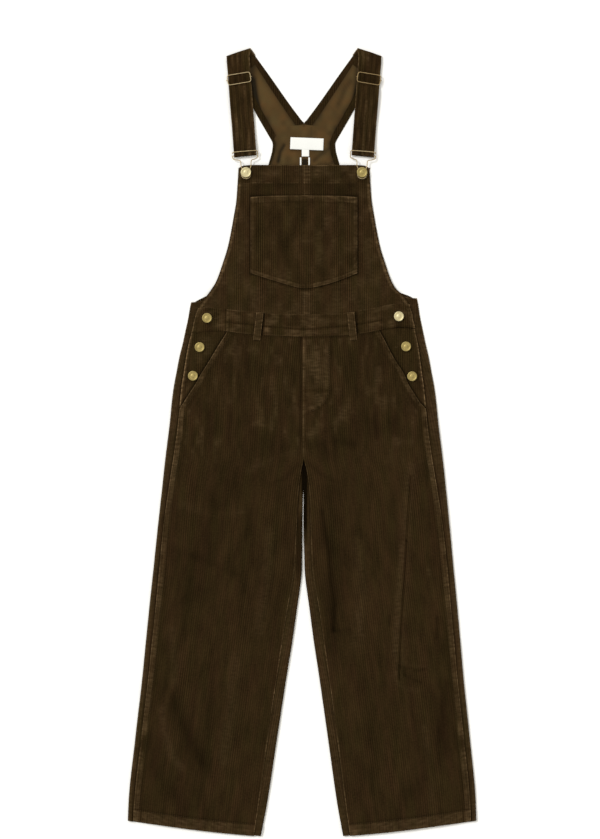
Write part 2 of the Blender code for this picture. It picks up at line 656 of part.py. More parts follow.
def slider(tag, side):
    """Strap adjuster: a round-cornered frame over the strap and a bar behind it."""
    middle = (strap_middle(SLIDER_Y), SLIDER_Y)
    corners = ((1, 1), (-1, 1), (-1, -1), (1, -1))
    points = []
    for quarter, (out, up) in enumerate(corners):
        for share in shares(3):
            angle = math.pi / 2 * (quarter + share)
            reach = out * (SLIDER_HALF_LENGTH - SLIDER_CORNER) + SLIDER_CORNER * math.cos(angle)
            lift = up * (SLIDER_HALF_HEIGHT - SLIDER_CORNER) + SLIDER_CORNER * math.sin(angle)
            points.append(on_strap(side, middle, SLIDER_SLOPE, reach, lift, SLIDER_LEVEL))
    wire("slider_" + tag, points, cyclic=True)
    ends = [on_strap(side, middle, SLIDER_SLOPE, reach, 0.0, SLIDER_BAR_LEVEL)
            for reach in (SLIDER_BAR_HALF, -SLIDER_BAR_HALF)]
    wire("slider_bar_" + tag, ends)


def smooth_line(points, steps):
    """Points of a smooth line through the given ones."""
    line = [points[0]]
    padded = [points[0], *points, points[-1]]
    for before, start, end, after in zip(padded, padded[1:], padded[2:], padded[3:]):
        for step in range(1, steps + 1):
            t = step / steps
            line.append(0.5 * (2 * start + (end - before) * t
                               + (2 * before - 5 * start + 4 * end - after) * t**2
                               + (3 * start - before - 3 * end + after) * t**3))
    return line


def clip(tag, side):
    """Wire clip from the strap's end to the bib button."""
    mirrored = tuple(Bend(-bend.across, bend.up, bend.level) for bend in CLIP_SIDE[::-1])
    points = []
    for bend in CLIP_BAR + CLIP_SIDE + (CLIP_FOOT,) + mirrored + CLIP_TOP:
        share = ease((bend.up - CLIP_SLOPE_FROM) / (CLIP_SLOPE_FULL - CLIP_SLOPE_FROM))
        y = BIB_BUTTON[1] + bend.up
        middle = blend(BIB_BUTTON[0], strap_middle(y), share)
        points.append(place(side, middle + bend.across, y - share * CLIP_SLOPE * bend.across, bend.level))
    wire("clip_" + tag, smooth_line(points, 2))


def button(name, side, half, y, base, neck):
    """Shank button: flange on the cloth, neck and domed cap, turned about its own axis."""
    cap_base = BUTTON_FLANGE + neck
    profile = [(turn.radius, cap_base + turn.up) for turn in BUTTON_CAP]
    profile += [(BUTTON_NECK_RADIUS, cap_base), (BUTTON_NECK_RADIUS, BUTTON_FLANGE),
                (BUTTON_FLANGE_RADIUS, BUTTON_FLANGE), (BUTTON_FLANGE_RADIUS, 0.0), (0.0, 0.0)]
    mesh = bpy.data.meshes.new(name)
    points = [(radius * MM, 0.0, up * MM) for radius, up in profile]
    mesh.from_pydata(points, [(i, i + 1) for i in range(len(points) - 1)], [])
    piece = add(name, mesh, BRASS, roughness=0.35, metallic=1.0)
    turn = piece.modifiers.new("turned", "SCREW")
    turn.steps = BUTTON_STEPS
    turn.render_steps = BUTTON_STEPS
    turn.use_merge_vertices = True
    turn.merge_threshold = 0.00001
    piece.location = place(side, half, y, base + LAYER_GAP)


def bib_button(tag, side):
    half, y = BIB_BUTTON
    base = bib_level(half - BUTTON_FLANGE_RADIUS, y) + BAND_RISE
    button("bib_button_" + tag, side, half, y, base, BIB_NECK)


def hip_buttons(tag, side):
    """Three buttons down the side opening: one on the waistband and two on the facing."""
    for number, (half, y) in enumerate(HIP_BUTTONS, start=1):
        rise = BAND_RISE if number == 1 else -FACING_DROP
        base = front_level(side, half, y) + rise
        button("hip_button_%s_%d" % (tag, number), side, half, y, base, HIP_NECK)


def build():
    for old in list(bpy.data.objects):
        bpy.data.objects.remove(old)
    for tag, side in SIDES:
        leg_back(tag, side)
        leg_front(tag, side)
        hip_facing(tag, side)
        bib_front(tag, side)
        belt_loop(tag, side)
        four_sided("back_yoke_" + tag, YOKE, side, 6, CLOTH, CLOTH)
        four_sided("yoke_lining_" + tag, LINING, side, 4, LINING_TOP, LINING_CLOTH, LINING_BROWN)
        strap_front(tag, side)
        slider(tag, side)
        clip(tag, side)
        bib_button(tag, side)
        hip_buttons(tag, side)
    waistband_front()
    waistband_back()
    bib_top_band()
    bib_pocket()
    patch("label", LABEL, TRIM_TOP)
    patch("size_tab", SIZE_TAB, TRIM_TOP)
    hanger_loop()


build()
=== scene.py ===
"""Looks of a pair of brown corduroy bib overalls, which lie flat on their back.

Sizes are in millimetres. A half distance runs outwards from the garment's centre line, so one
table serves the left side (-X) and the right side (+X). place() turns them into metres.
Distances down a panel start at its top edge.
"""

import math
from collections import namedtuple

import bmesh
import bpy
import numpy as np
from mathutils import Matrix, Vector


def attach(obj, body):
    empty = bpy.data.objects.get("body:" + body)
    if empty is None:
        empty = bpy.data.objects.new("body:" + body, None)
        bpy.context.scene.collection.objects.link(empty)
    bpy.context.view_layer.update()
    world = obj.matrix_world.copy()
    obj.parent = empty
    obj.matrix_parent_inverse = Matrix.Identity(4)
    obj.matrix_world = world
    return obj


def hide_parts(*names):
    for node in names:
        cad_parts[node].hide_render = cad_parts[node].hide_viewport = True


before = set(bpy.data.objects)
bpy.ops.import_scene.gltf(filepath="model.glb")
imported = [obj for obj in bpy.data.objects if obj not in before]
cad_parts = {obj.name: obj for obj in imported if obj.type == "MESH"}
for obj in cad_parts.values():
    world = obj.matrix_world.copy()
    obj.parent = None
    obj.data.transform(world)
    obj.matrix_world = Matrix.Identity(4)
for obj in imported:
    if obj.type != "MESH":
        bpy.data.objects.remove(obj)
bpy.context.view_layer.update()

# ------------------------------------------------------------------------------------------
# Camera: straight above the garment, through a long lens. The picture is 600 by 839 and
# takes in 1.468 m of the floor from top to bottom.

PICTURE_MIDDLE = (-0.0035, 0.0389)
PICTURE_LONG_SIDE = 1.468
CAMERA_HEIGHT = 6.0
SEEN_HEIGHT = 0.006
SENSOR_WIDTH = 36.0

camera_data = bpy.data.cameras.new("camera")
camera_data.sensor_width = SENSOR_WIDTH
camera_data.lens = SENSOR_WIDTH * (CAMERA_HEIGHT - SEEN_HEIGHT) / PICTURE_LONG_SIDE
camera = bpy.data.objects.new("camera", camera_data)
camera.location = (*PICTURE_MIDDLE, CAMERA_HEIGHT)
bpy.context.scene.collection.objects.link(camera)
bpy.context.scene.camera = camera

# ------------------------------------------------------------------------------------------
# Floor and light: a white floor that is seen from above only, soft light from all round, and
# a broad far lamp at the upper left that gives the wales and folds their shade.

FLOOR_HALF = 6.0
FLOOR_WHITE = (0.95, 0.95, 0.95, 1.0)
SKY_WHITE = (1.0, 0.975, 0.90, 1.0)
SKY_STRENGTH = 0.80
LAMP_DIRECTION = (-1.0, 0.75, 1.35)
LAMP_BREADTH = math.radians(17.0)
LAMP_STRENGTH = 1.75
LAMP_DISTANCE = 2.0


class Value:
    """Output of a shader node. Arithmetic on it adds Math nodes to its finish."""

    def __init__(self, finish, socket):
        self.finish = finish
        self.socket = socket

    def math(self, operation, first, second):
        return self.finish.node("ShaderNodeMath", {0: first, 1: second}, operation=operation)

    def __add__(self, other):
        return self.math("ADD", self, other)

    def __radd__(self, other):
        return self.math("ADD", other, self)

    def __sub__(self, other):
        return self.math("SUBTRACT", self, other)

    def __rsub__(self, other):
        return self.math("SUBTRACT", other, self)

    def __mul__(self, other):
        return self.math("MULTIPLY", self, other)

    def __rmul__(self, other):
        return self.math("MULTIPLY", other, self)

    def above_zero(self):
        return self.math("MAXIMUM", self, 0.0)

    def below_zero(self):
        return self.math("MINIMUM", self, 0.0)


class Finish:
    """A node material. node() adds a node of any type, sets it up and then feeds its sockets."""

    def __init__(self, name, **sockets):
        self.material = bpy.data.materials.new(name)
        self.material.use_nodes = True
        self.tree = self.material.node_tree
        self.shader = self.tree.nodes["Principled BSDF"]
        for socket, value in sockets.items():
            self.give(socket.replace("_", " ").title(), value)

    def node(self, kind, fed=None, output=0, **settings):
        added = self.tree.nodes.new(kind)
        for setting, value in settings.items():
            setattr(added, setting, value)
        for socket, value in (fed or {}).items():
            self.feed(added.inputs[socket], value)
        return Value(self, added.outputs[output])

    def feed(self, socket, value):
        if isinstance(value, Value):
            self.tree.links.new(value.socket, socket)
        else:
            socket.default_value = value

    def give(self, socket, value):
        """Feeds a socket of the finish's own shader."""
        self.feed(self.shader.inputs[socket], value)

    def mix(self, share, first, second):
        """Colour between two colours. A Mix node takes them in its inputs 6 and 7 and gives
        the colour in its output 2."""
        fed = {0: share, 6: first, 7: second}
        return self.node("ShaderNodeMix", fed, output=2, data_type="RGBA")

    def shade(self, colour, strength):
        """Colour made darker or lighter."""
        return self.node("ShaderNodeVectorMath", {0: colour, "Scale": strength}, operation="SCALE")

    def noise(self, vector, scale, detail=2.0):
        return self.node("ShaderNodeTexNoise", {"Vector": vector, "Scale": scale, "Detail": detail})

    def in_place(self):
        """Where a point of the piece lies, in metres."""
        return self.node("ShaderNodeTexCoord", output="Object")

    def stretched(self, vector, *scale):
        return self.node("ShaderNodeMapping", {"Vector": vector, "Scale": scale})

    def worn(self):
        """How rubbed the cloth is at a point, or below 0 how much painted shade darkens it, as
        cloth() notes it.
        """
        return self.node("ShaderNodeAttribute", output="Fac", attribute_name="worn")

    def bump(self, height, strength, distance):
        fed = {"Strength": strength, "Distance": distance, "Height": height}
        self.give("Normal", self.node("ShaderNodeBump", fed))


def linked(name, mesh, finish):
    """Object of a mesh with a finish."""
    mesh.materials.append(finish.material)
    piece = bpy.data.objects.new(name, mesh)
    bpy.context.scene.collection.objects.link(piece)
    return piece


def shaped(name, shape, finish):
    """Object of a finished bmesh."""
    mesh = bpy.data.meshes.new(name)
    shape.to_mesh(mesh)
    shape.free()
    mesh.shade_smooth()
    return linked(name, mesh, finish)


floor_finish = Finish("floor", base_color=FLOOR_WHITE, roughness=0.9)
seen_from_below = floor_finish.node("ShaderNodeNewGeometry", output="Backfacing")
clear = floor_finish.node("ShaderNodeBsdfTransparent")
solid = Value(floor_finish, floor_finish.shader.outputs[0])
one_sided = floor_finish.node("ShaderNodeMixShader", {0: seen_from_below, 1: solid, 2: clear})
floor_finish.feed(floor_finish.tree.nodes["Material Output"].inputs["Surface"], one_sided)

floor_shape = bmesh.new()
bmesh.ops.create_grid(floor_shape, x_segments=2, y_segments=2, size=FLOOR_HALF)
floor = shaped("floor", floor_shape, floor_finish)

sky = bpy.data.worlds.new("sky")
sky.use_nodes = True
sky.node_tree.nodes["Background"].inputs["Color"].default_value = SKY_WHITE
sky.node_tree.nodes["Background"].inputs["Strength"].default_value = SKY_STRENGTH
bpy.context.scene.world = sky
bpy.context.scene.view_settings.view_transform = "Standard"

lamp_data = bpy.data.lights.new("lamp", "SUN")
lamp_data.angle = LAMP_BREADTH
lamp_data.energy = LAMP_STRENGTH
lamp = bpy.data.objects.new("lamp", lamp_data)
lamp.location = Vector(LAMP_DIRECTION) * LAMP_DISTANCE
lamp.rotation_euler = (-Vector(LAMP_DIRECTION)).to_track_quat("-Z", "Y").to_euler()
bpy.context.scene.collection.objects.link(lamp)

# ------------------------------------------------------------------------------------------
# Back legs and seat: one panel of corduroy a side, flat on the floor. Each is folded up round
# the side of the leg to the outseam and round the inside of the leg to the inseam, and its
# hem is turned inside. The wales run down the middle of the leg.

MM = 0.001
CLOTH = 1.5
SEAM_GAP = 0.4
CENTRE_X = 3.5
LEAN_FROM_Y = -74.0
HEM_MIDDLE_Y = -676.9
HEM_BOW = 2.6
HEM_BOW_FROM_Y = -480.0
HEM_SLANT = 26.6
HEM_SLANT_FULL_Y = -400.0
BACK_TOP_Y = 184.6
BACK_LENGTH = BACK_TOP_Y - HEM_MIDDLE_Y

Body = namedtuple("Body", "y fold edge inner inseam "
                          "fold_top edge_top inner_top inseam_top middle_top")
BODY = (
    Body(250, 196.9, 176.0, 0.0, 0.0, 3.6, 5.6, 3.6, 6.5, 6.5),
    Body(237, 199.7, 184.2, 0.0, 0.0, 3.6, 5.6, 3.6, 6.5, 6.5),
    Body(218, 202.9, 190.5, 0.0, 0.0, 3.6, 5.6, 3.6, 6.5, 6.5),
    Body(200, 206.9, 194.0, 0.0, 0.0, 3.6, 5.6, 3.6, 6.5, 6.6),
    Body(176, 211.9, 199.9, 0.0, 0.0, 3.6, 5.6, 3.6, 6.5, 6.7),
    Body(150, 217.9, 204.3, 0.0, 0.0, 3.6, 5.6, 3.6, 6.5, 6.8),
    Body(122, 223.2, 208.2, 0.0, 0.0, 3.6, 5.6, 3.6, 6.5, 6.9),
    Body(94, 228.4, 212.4, 0.0, 0.0, 3.7, 5.6, 3.6, 6.5, 6.9),
    Body(66, 231.9, 215.1, 0.0, 0.0, 4.2, 5.6, 3.6, 6.5, 6.9),
    Body(38, 234.5, 217.4, 0.0, 0.0, 5.6, 5.6, 3.6, 6.5, 6.9),
    Body(-27, 242.5, 226.2, 0.0, 0.0, 5.6, 5.6, 3.6, 6.2, 6.9),
    Body(-50, 245.1, 229.8, 0.0, 5.0, 5.6, 5.6, 3.6, 5.7, 6.9),
    Body(-84, 248.7, 235.2, 1.3, 9.5, 5.6, 5.6, 3.7, 5.6, 6.9),
    Body(-150, 255.6, 244.9, 1.8, 12.4, 5.6, 5.6, 5.2, 5.6, 6.9),
    Body(-214, 261.9, 251.3, 2.0, 15.0, 5.6, 5.6, 5.6, 5.6, 6.9),
    Body(-298, 270.4, 259.2, 11.7, 28.5, 5.6, 5.6, 5.6, 5.6, 6.9),
    Body(-354, 275.7, 264.8, 19.4, 36.8, 5.6, 5.6, 5.6, 5.6, 6.9),
    Body(-410, 280.9, 270.2, 28.3, 45.2, 5.6, 5.6, 5.6, 5.6, 6.9),
    Body(-522, 293.2, 282.6, 44.9, 61.0, 5.6, 5.6, 5.6, 5.6, 6.9),
    Body(-634, 304.1, 294.1, 61.5, 76.0, 5.6, 5.6, 5.6, 5.6, 6.8),
    Body(-689, 305.5, 296.0, 71.8, 84.0, 5.4, 5.4, 5.4, 5.4, 6.4),
)
# A stretch of heights: what it holds for fades out towards its top and its foot.
Stretch = namedtuple("Stretch", "top top_fade foot foot_fade")
# Across the hips the front lies a little to the left of the folds at its sides.
HIP_SHIFT = 2.3
HIP_SHIFT_STRETCH = Stretch(330.0, 250.0, -280.0, 270.0)
HIP_SHIFT_MIDDLE = 0.45
HIP_SHIFT_MIDDLE_FADE = 60.0
HIP_SHIFT_FROM = 60.0
HIP_SHIFT_SPREAD = 80.0
# The left end of the waist hangs a little lower than its middle, and the right end higher.
Tilt = namedtuple("Tilt", "rise foot fade")
WAIST_TILT = (Tilt(-2.9, 130.0, 60.0), Tilt(4.2, 198.0, 48.0))
TILT_FROM = 70.0
TILT_SPREAD = 95.0
TILT_TOP_Y = 250.0
TILT_TOP_FADE = 20.0
SEAM_ALLOWANCE = 7.0
TUCK = 5.0
TUCK_DROP = 2.2
HEM_RADIUS = 0.9
HEM_TURN = 20.0
HEM_STITCH = 20.5

# Corduroy: rounded pile ridges, four columns of points to each, with narrow grooves between.
WALE = 3.8
WALE_HEIGHT = 0.32
WALE_PHASES = (0.0, 0.2, 0.5, 0.8)
WALE_ROUND = 0.7
LATTICE = 64
# How much lighter a crease's top is, and how much its hollow is darkened as painted shade.
CREASE_PALE = 0.10
CREASE_SHADE = 0.38
# Puckers across a sewn band: their spacing, their rise, and how much lighter they are where they
# rise and darker where they dip.
PUCKER = 5.6
PUCKER_RISE = 0.26
PUCKER_TONE = 0.13
EDGE_ROLL = 0.7
EDGE_ROLL_REACH = 0.8
# A furrow at each row of stitches: its width, its depth, and how much painted shade darkens it.
FURROW_WIDTH = 0.9
FURROW_DEPTH = 0.45
FURROW_SHADE = 0.2
MOST_WORN = 2.6
MOST_SHADED = -1.3
FINE_ROWS = (-2.4, -1.2, -0.5, 0.0, 0.5, 1.2, 2.4)
BACK_LEG_STEP = 7.0
BACK_LEG_REACH = 156.0
BACK_LEG_LUMPS = 0.35
LEG_WORN = 0.10
FOLD_RUBBED = 0.34
HEM_RUBBED = 0.3
SEAM_DIP = 0.9
# Painted shadow on a back leg beside the front's edge, at the outseam and at the inseam.
OUTSEAM_SHADOW = 0.42
INSEAM_SHADOW = 0.1
WELD = 0.03
SIDES = (("l", -1), ("r", 1))
# A point's height and its place across the garment depend on each other, so the two are
# worked out in turn, this many times.
BACK_ROUNDS = 3
FRONT_ROUNDS = 4


def read(table, column, key, at):
    """Column of a table at values of its key, by a cubic that never overshoots the rows. With
    no key the rows are numbered from 0."""
    rows = sorted(table, key=lambda row: getattr(row, key)) if key else table
    keys = np.array([getattr(row, key) for row in rows] if key else range(len(rows)), float)
    values = np.array([getattr(row, column) for row in rows], float)
    steps = np.diff(values) / np.diff(keys)
    product = steps[:-1] * steps[1:]
    total = steps[:-1] + steps[1:]
    inner = np.where(product > 0.0, 2.0 * product / np.where(product > 0.0, total, 1.0), 0.0)
    tangents = np.concatenate((steps[:1], inner, steps[-1:]))
    at = np.clip(at, keys[0], keys[-1])
    i = np.clip(np.searchsorted(keys, at) - 1, 0, len(steps) - 1)
    span = np.diff(keys)[i]
    t = (at - keys[i]) / span
    return ((2 * t**3 - 3 * t**2 + 1) * values[i] + (t**3 - 2 * t**2 + t) * span * tangents[i]
            + (3 * t**2 - 2 * t**3) * values[i + 1] + (t**3 - t**2) * span * tangents[i + 1])


def body(column, y):
    return read(BODY, column, "y", y)


def ease(share):
    """Share from 0 to 1, clamped, with level ends."""
    share = np.clip(share, 0.0, 1.0)
    return share * share * (3.0 - 2.0 * share)


def within(y, stretch):
    """Share that is 1 in a stretch of heights."""
    return ease((stretch.top - y) / stretch.top_fade) * ease((y - stretch.foot) / stretch.foot_fade)


def near(value, centre, width):
    """Share that is 1 at a centre and fades out on both sides of it."""
    return np.exp(-((value - centre) / width) ** 2)


def fading(distance, reach):
    """Share that is 1 at an edge and fades out with the distance from it."""
    return np.exp(-np.maximum(distance, 0.0) / reach)


def grain(y):
    """Half distance of the line down the middle of a leg, which its wales follow."""
    return (body("edge", y) + body("inseam", y)) / 2


def slant(y):
    """How much lower a row ends at the inseam than at the outseam."""
    return HEM_SLANT * ease(y / HEM_SLANT_FULL_Y)


def hem_bow(share, middle):
    """How much lower a row hangs between the sides of a leg. share is 0 in its middle."""
    low = ease((HEM_BOW_FROM_Y - middle) / (HEM_BOW_FROM_Y - HEM_MIDDLE_Y))
    return HEM_BOW * (1.0 - 4.0 * share**2) * low


def hip_shift(half, y):
    """How far to the left a point lies across the hips. The folds at the sides stay."""
    middle = HIP_SHIFT_MIDDLE * ease(1.0 + y / HIP_SHIFT_MIDDLE_FADE)
    share = middle + (1.0 - middle) * ease((half - HIP_SHIFT_FROM) / HIP_SHIFT_SPREAD)
    past = (half - body("edge", y)) / (body("fold", y) - body("edge", y))
    return HIP_SHIFT * within(y, HIP_SHIFT_STRETCH) * share * (1.0 - ease(past))


def waist_tilt(offset, y):
    """How much higher a point at the ends of the waist lies than its table says."""
    share = ease((np.abs(offset) - TILT_FROM) / TILT_SPREAD)
    share = share * (1.0 - ease((y - TILT_TOP_Y) / TILT_TOP_FADE))
    left, right = [tilt.rise * ease((y - tilt.foot) / tilt.fade) for tilt in WAIST_TILT]
    return share * np.where(offset < 0.0, left, right)


def place(side, half, y, level):
    """Points in metres, on the left (-1) or right (1) of the centre line."""
    lean = np.clip((LEAN_FROM_Y - y) / (LEAN_FROM_Y - HEM_MIDDLE_Y), 0.0, 1.0)
    x = CENTRE_X * (1.0 - lean) - hip_shift(np.abs(half), y) + side * half
    return np.stack(np.broadcast_arrays(x, y + waist_tilt(side * half, y), level), axis=-1) * MM


def turn_over(along, edge, radius):
    """Cloth that is folded back on itself at an edge: where each point of it comes to lie, and
    how far it is from the outer side."""
    start = edge - radius
    angle = np.clip((along - start) / radius, 0.0, math.pi)
    back = np.maximum(along - start - math.pi * radius, 0.0)
    return np.minimum(along, start) + radius * np.sin(angle) - back, radius * (1.0 - np.cos(angle))


def dapple(x, y, size, seed):
    """Soft unevenness from -1 to 1, in lumps of about a size."""
    lattice = np.random.default_rng(seed).uniform(-1.0, 1.0, (LATTICE, LATTICE))
    column, row = np.floor(x / size).astype(int), np.floor(y / size).astype(int)
    right, up = ease(x / size - column), ease(y / size - row)

    def corner(i, j):
        return lattice[(column + i) % LATTICE, (row + j) % LATTICE]

    low = corner(0, 0) * (1 - right) + corner(1, 0) * right
    high = corner(0, 1) * (1 - right) + corner(1, 1) * right
    return low * (1 - up) + high * up


Crease = namedtuple("Crease", "points rise width")


def crease_rise(creases, x, y):
    """How far soft creases lift or lower the cloth."""
    total = np.zeros(np.shape(x))
    for crease in creases:
        nearest = np.full(np.shape(x), np.inf)
        for (x0, y0), (x1, y1) in zip(crease.points, crease.points[1:]):
            run_x, run_y = x1 - x0, y1 - y0
            share = np.clip(((x - x0) * run_x + (y - y0) * run_y) / (run_x**2 + run_y**2), 0.0, 1.0)
            nearest = np.minimum(nearest, np.hypot(x - x0 - share * run_x, y - y0 - share * run_y))
        total += crease.rise * near(nearest, 0.0, crease.width)
    return total


def hollow_tone(rise):
    """Tone of the cloth on a crease: lighter where it stands up, and darker where it dips, as
    painted shade.
    """
    return CREASE_PALE * np.maximum(rise, 0.0) + CREASE_SHADE * np.minimum(rise, 0.0)


def wales(low, high):
    """Columns of points across the wales."""
    first, last = math.floor(low / WALE), math.ceil(high / WALE)
    columns = [(number + phase) * WALE for number in range(first, last) for phase in WALE_PHASES]
    return [*columns, last * WALE]


def groove(u):
    """Depth of the cloth below the tops of its wales."""
    return WALE_HEIGHT * (1.0 - np.abs(np.sin(math.pi * u / WALE)) ** WALE_ROUND)


def rows_down(start, end, step, fine=()):
    """Rows of points along a panel, closer beside its edges and sewn lines."""
    even = np.linspace(start, end, round((end - start) / step) + 1)
    close = np.array([line + offset for line in fine for offset in FINE_ROWS])
    close = close[(close > start) & (close < end)]
    kept = np.abs(even[:, None] - close).min(axis=1, initial=math.inf) > step / 3
    kept[[0, -1]] = True
    return np.unique(np.concatenate((even[kept], close)))


def puckers(along, inset, period, seed):
    """Uneven puckers across a sewn band, from -1 to 1."""
    drift = 2.4 * dapple(along, inset * 0.0, 37.0, seed)
    strength = 0.6 + 0.6 * dapple(along, inset * 0.2, 26.0, seed + 3)
    even = np.cos(2.0 * math.pi * along / period + drift)
    return 0.65 * strength * even + 0.35 * dapple(along, inset * 0.4, 4.5, seed + 1)


def sewn_edge(inset, along, rows, puff=0.5, seed=1, line=0.5, tone=0.2):
    """Relief and tone beside a turned and stitched edge: its roll, the padding of the turned
    cloth, puckers across it that are lighter where they rise and darker where they dip, and a
    furrow at each row of stitches, painted darker as shade. line and tone say how much the
    very edge and the whole band have rubbed."""
    band = ease((rows[-1] + 1.5 - inset) / 2.5)
    across = band * puckers(along, inset, PUCKER, seed)
    patchy = 0.75 + 0.45 * dapple(along, inset, 23.0, seed + 2)
    rise = puff * band - EDGE_ROLL * fading(inset, EDGE_ROLL_REACH) + PUCKER_RISE * across
    worn = (line * near(inset, 0.0, 1.4) + tone * band) * patchy + PUCKER_TONE * across
    for row in rows:
        furrow = near(inset, row, FURROW_WIDTH)
        rise = rise - FURROW_DEPTH * furrow
        # Painted shade in the furrow.
        worn = worn - FURROW_SHADE * furrow
    return rise, worn


def dress(piece, slot, *nodes):
    """Fixes a piece on the garment, in the place of the solids that it stands for."""
    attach(piece, "root")
    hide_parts(*nodes)
    return piece


def cloth(name, columns, rows, form, finish, wall=0.0, wall_offset=-1.0, faces_up=True):
    """Sheet of cloth: a grid with columns along its wales, laid in place by form(), which
    gives each point, its spot on the flat cloth, and how rubbed it is there, with values
    below 0 for painted shade. The wall grows down from it, or to both sides with an
    offset of 0."""
    shape = bmesh.new()
    bmesh.ops.create_grid(shape, x_segments=len(columns) - 1, y_segments=len(rows) - 1, size=0.5)
    share = np.array([vertex.co[:2] for vertex in shape.verts]) + 0.5
    u = np.array(columns)[np.rint(share[:, 0] * (len(columns) - 1)).astype(int)]
    v = np.array(rows)[np.rint(share[:, 1] * (len(rows) - 1)).astype(int)]
    points, spots, worn = form(u, v)
    mesh = bpy.data.meshes.new(name)
    shape.to_mesh(mesh)
    mesh.vertices.foreach_set("co", points.astype(np.float32).ravel())
    corners = np.zeros(len(mesh.loops), np.int32)
    mesh.loops.foreach_get("vertex_index", corners)
    flat = (np.stack(spots, axis=-1) * MM).astype(np.float32)
    mesh.uv_layers.new(name="cloth").data.foreach_set("uv", flat[corners].ravel())
    # Above 0 the attribute is rubbed wear, with a few painted highlights; below 0 it is painted
    # shade.
    shade_and_wear = np.clip(np.broadcast_to(worn, u.shape), MOST_SHADED, MOST_WORN).astype(np.float32)
    mesh.attributes.new("worn", "FLOAT", "POINT").data.foreach_set("value", shade_and_wear)
    shape.clear()
    shape.from_mesh(mesh)
    bmesh.ops.remove_doubles(shape, verts=shape.verts, dist=WELD * MM)
    shape.normal_update()
    upwards = sum(face.normal.z * face.calc_area() for face in shape.faces)
    if (upwards > 0.0) != faces_up:
        bmesh.ops.reverse_faces(shape, faces=shape.faces)
    shape.to_mesh(mesh)
    shape.free()
    mesh.shade_smooth()
    piece = linked(name, mesh, finish)
    if wall:
        solidify = piece.modifiers.new("wall", "SOLIDIFY")
        solidify.thickness = wall * MM
        solidify.offset = wall_offset
    return piece


# The corduroy's finish: grooves painted dark as shade, lighter ridges of cut pile that show in
# patches, streaks where the pile lies another way, pale brown where edges have rubbed and on
# crease tops, and painted shade where cloth() marks the cloth below 0.
GROOVE_SHADE_BROWN = (0.0104, 0.0059, 0.0019, 1.0)
RIDGE_RED = (0.0385, 0.0200, 0.0083, 1.0)
RIDGE_OLIVE = (0.0312, 0.0206, 0.0068, 1.0)
WEAR_AND_HIGHLIGHT_BROWN = (0.200, 0.128, 0.062, 1.0)
SHEEN_BROWN = (0.60, 0.42, 0.20, 1.0)
SHEEN = 0.06
CLOTH_GLOSS = 0.08
RIDGE_TURNS = 2.0 * math.pi / (WALE * MM)
PILE_SCALE = 1500.0
PUCKER_SCALE = 235.0
PUCKER_BREADTH = 0.35
PUCKER_GAIN = 3.2
PUCKER_CUT = 1.1
NAP_SCALE = 330.0
PATCH_SCALE = 46.0
PATCH_LENGTH = 0.45
CLOUD_SCALE = 9.0
CLOUD_SHARE = 0.55
CLEAR_SCALE = 30.0
CLEAR_GAIN = 4.4
CLEAR_CUT = 1.4
HUE_SCALE = 55.0
HUE_GAIN = 3.0
HUE_CUT = 1.0
STREAK_SCALE = 130.0
STREAK_LENGTH = 0.17
EVEN_TONE = 0.225
# How much painted shade darkens the cloth where cloth() marks it below 0.
PAINTED_SHADE_STRENGTH = 0.75
LIT_BASE = 0.7
LIT_PILE = 0.6
RUBBED_BASE = 0.05
RUBBED_PILE = 0.25
RUBBED_PUCKER = 0.5
BUMP_STRENGTH = 0.5
BUMP_DEPTH = 0.0006


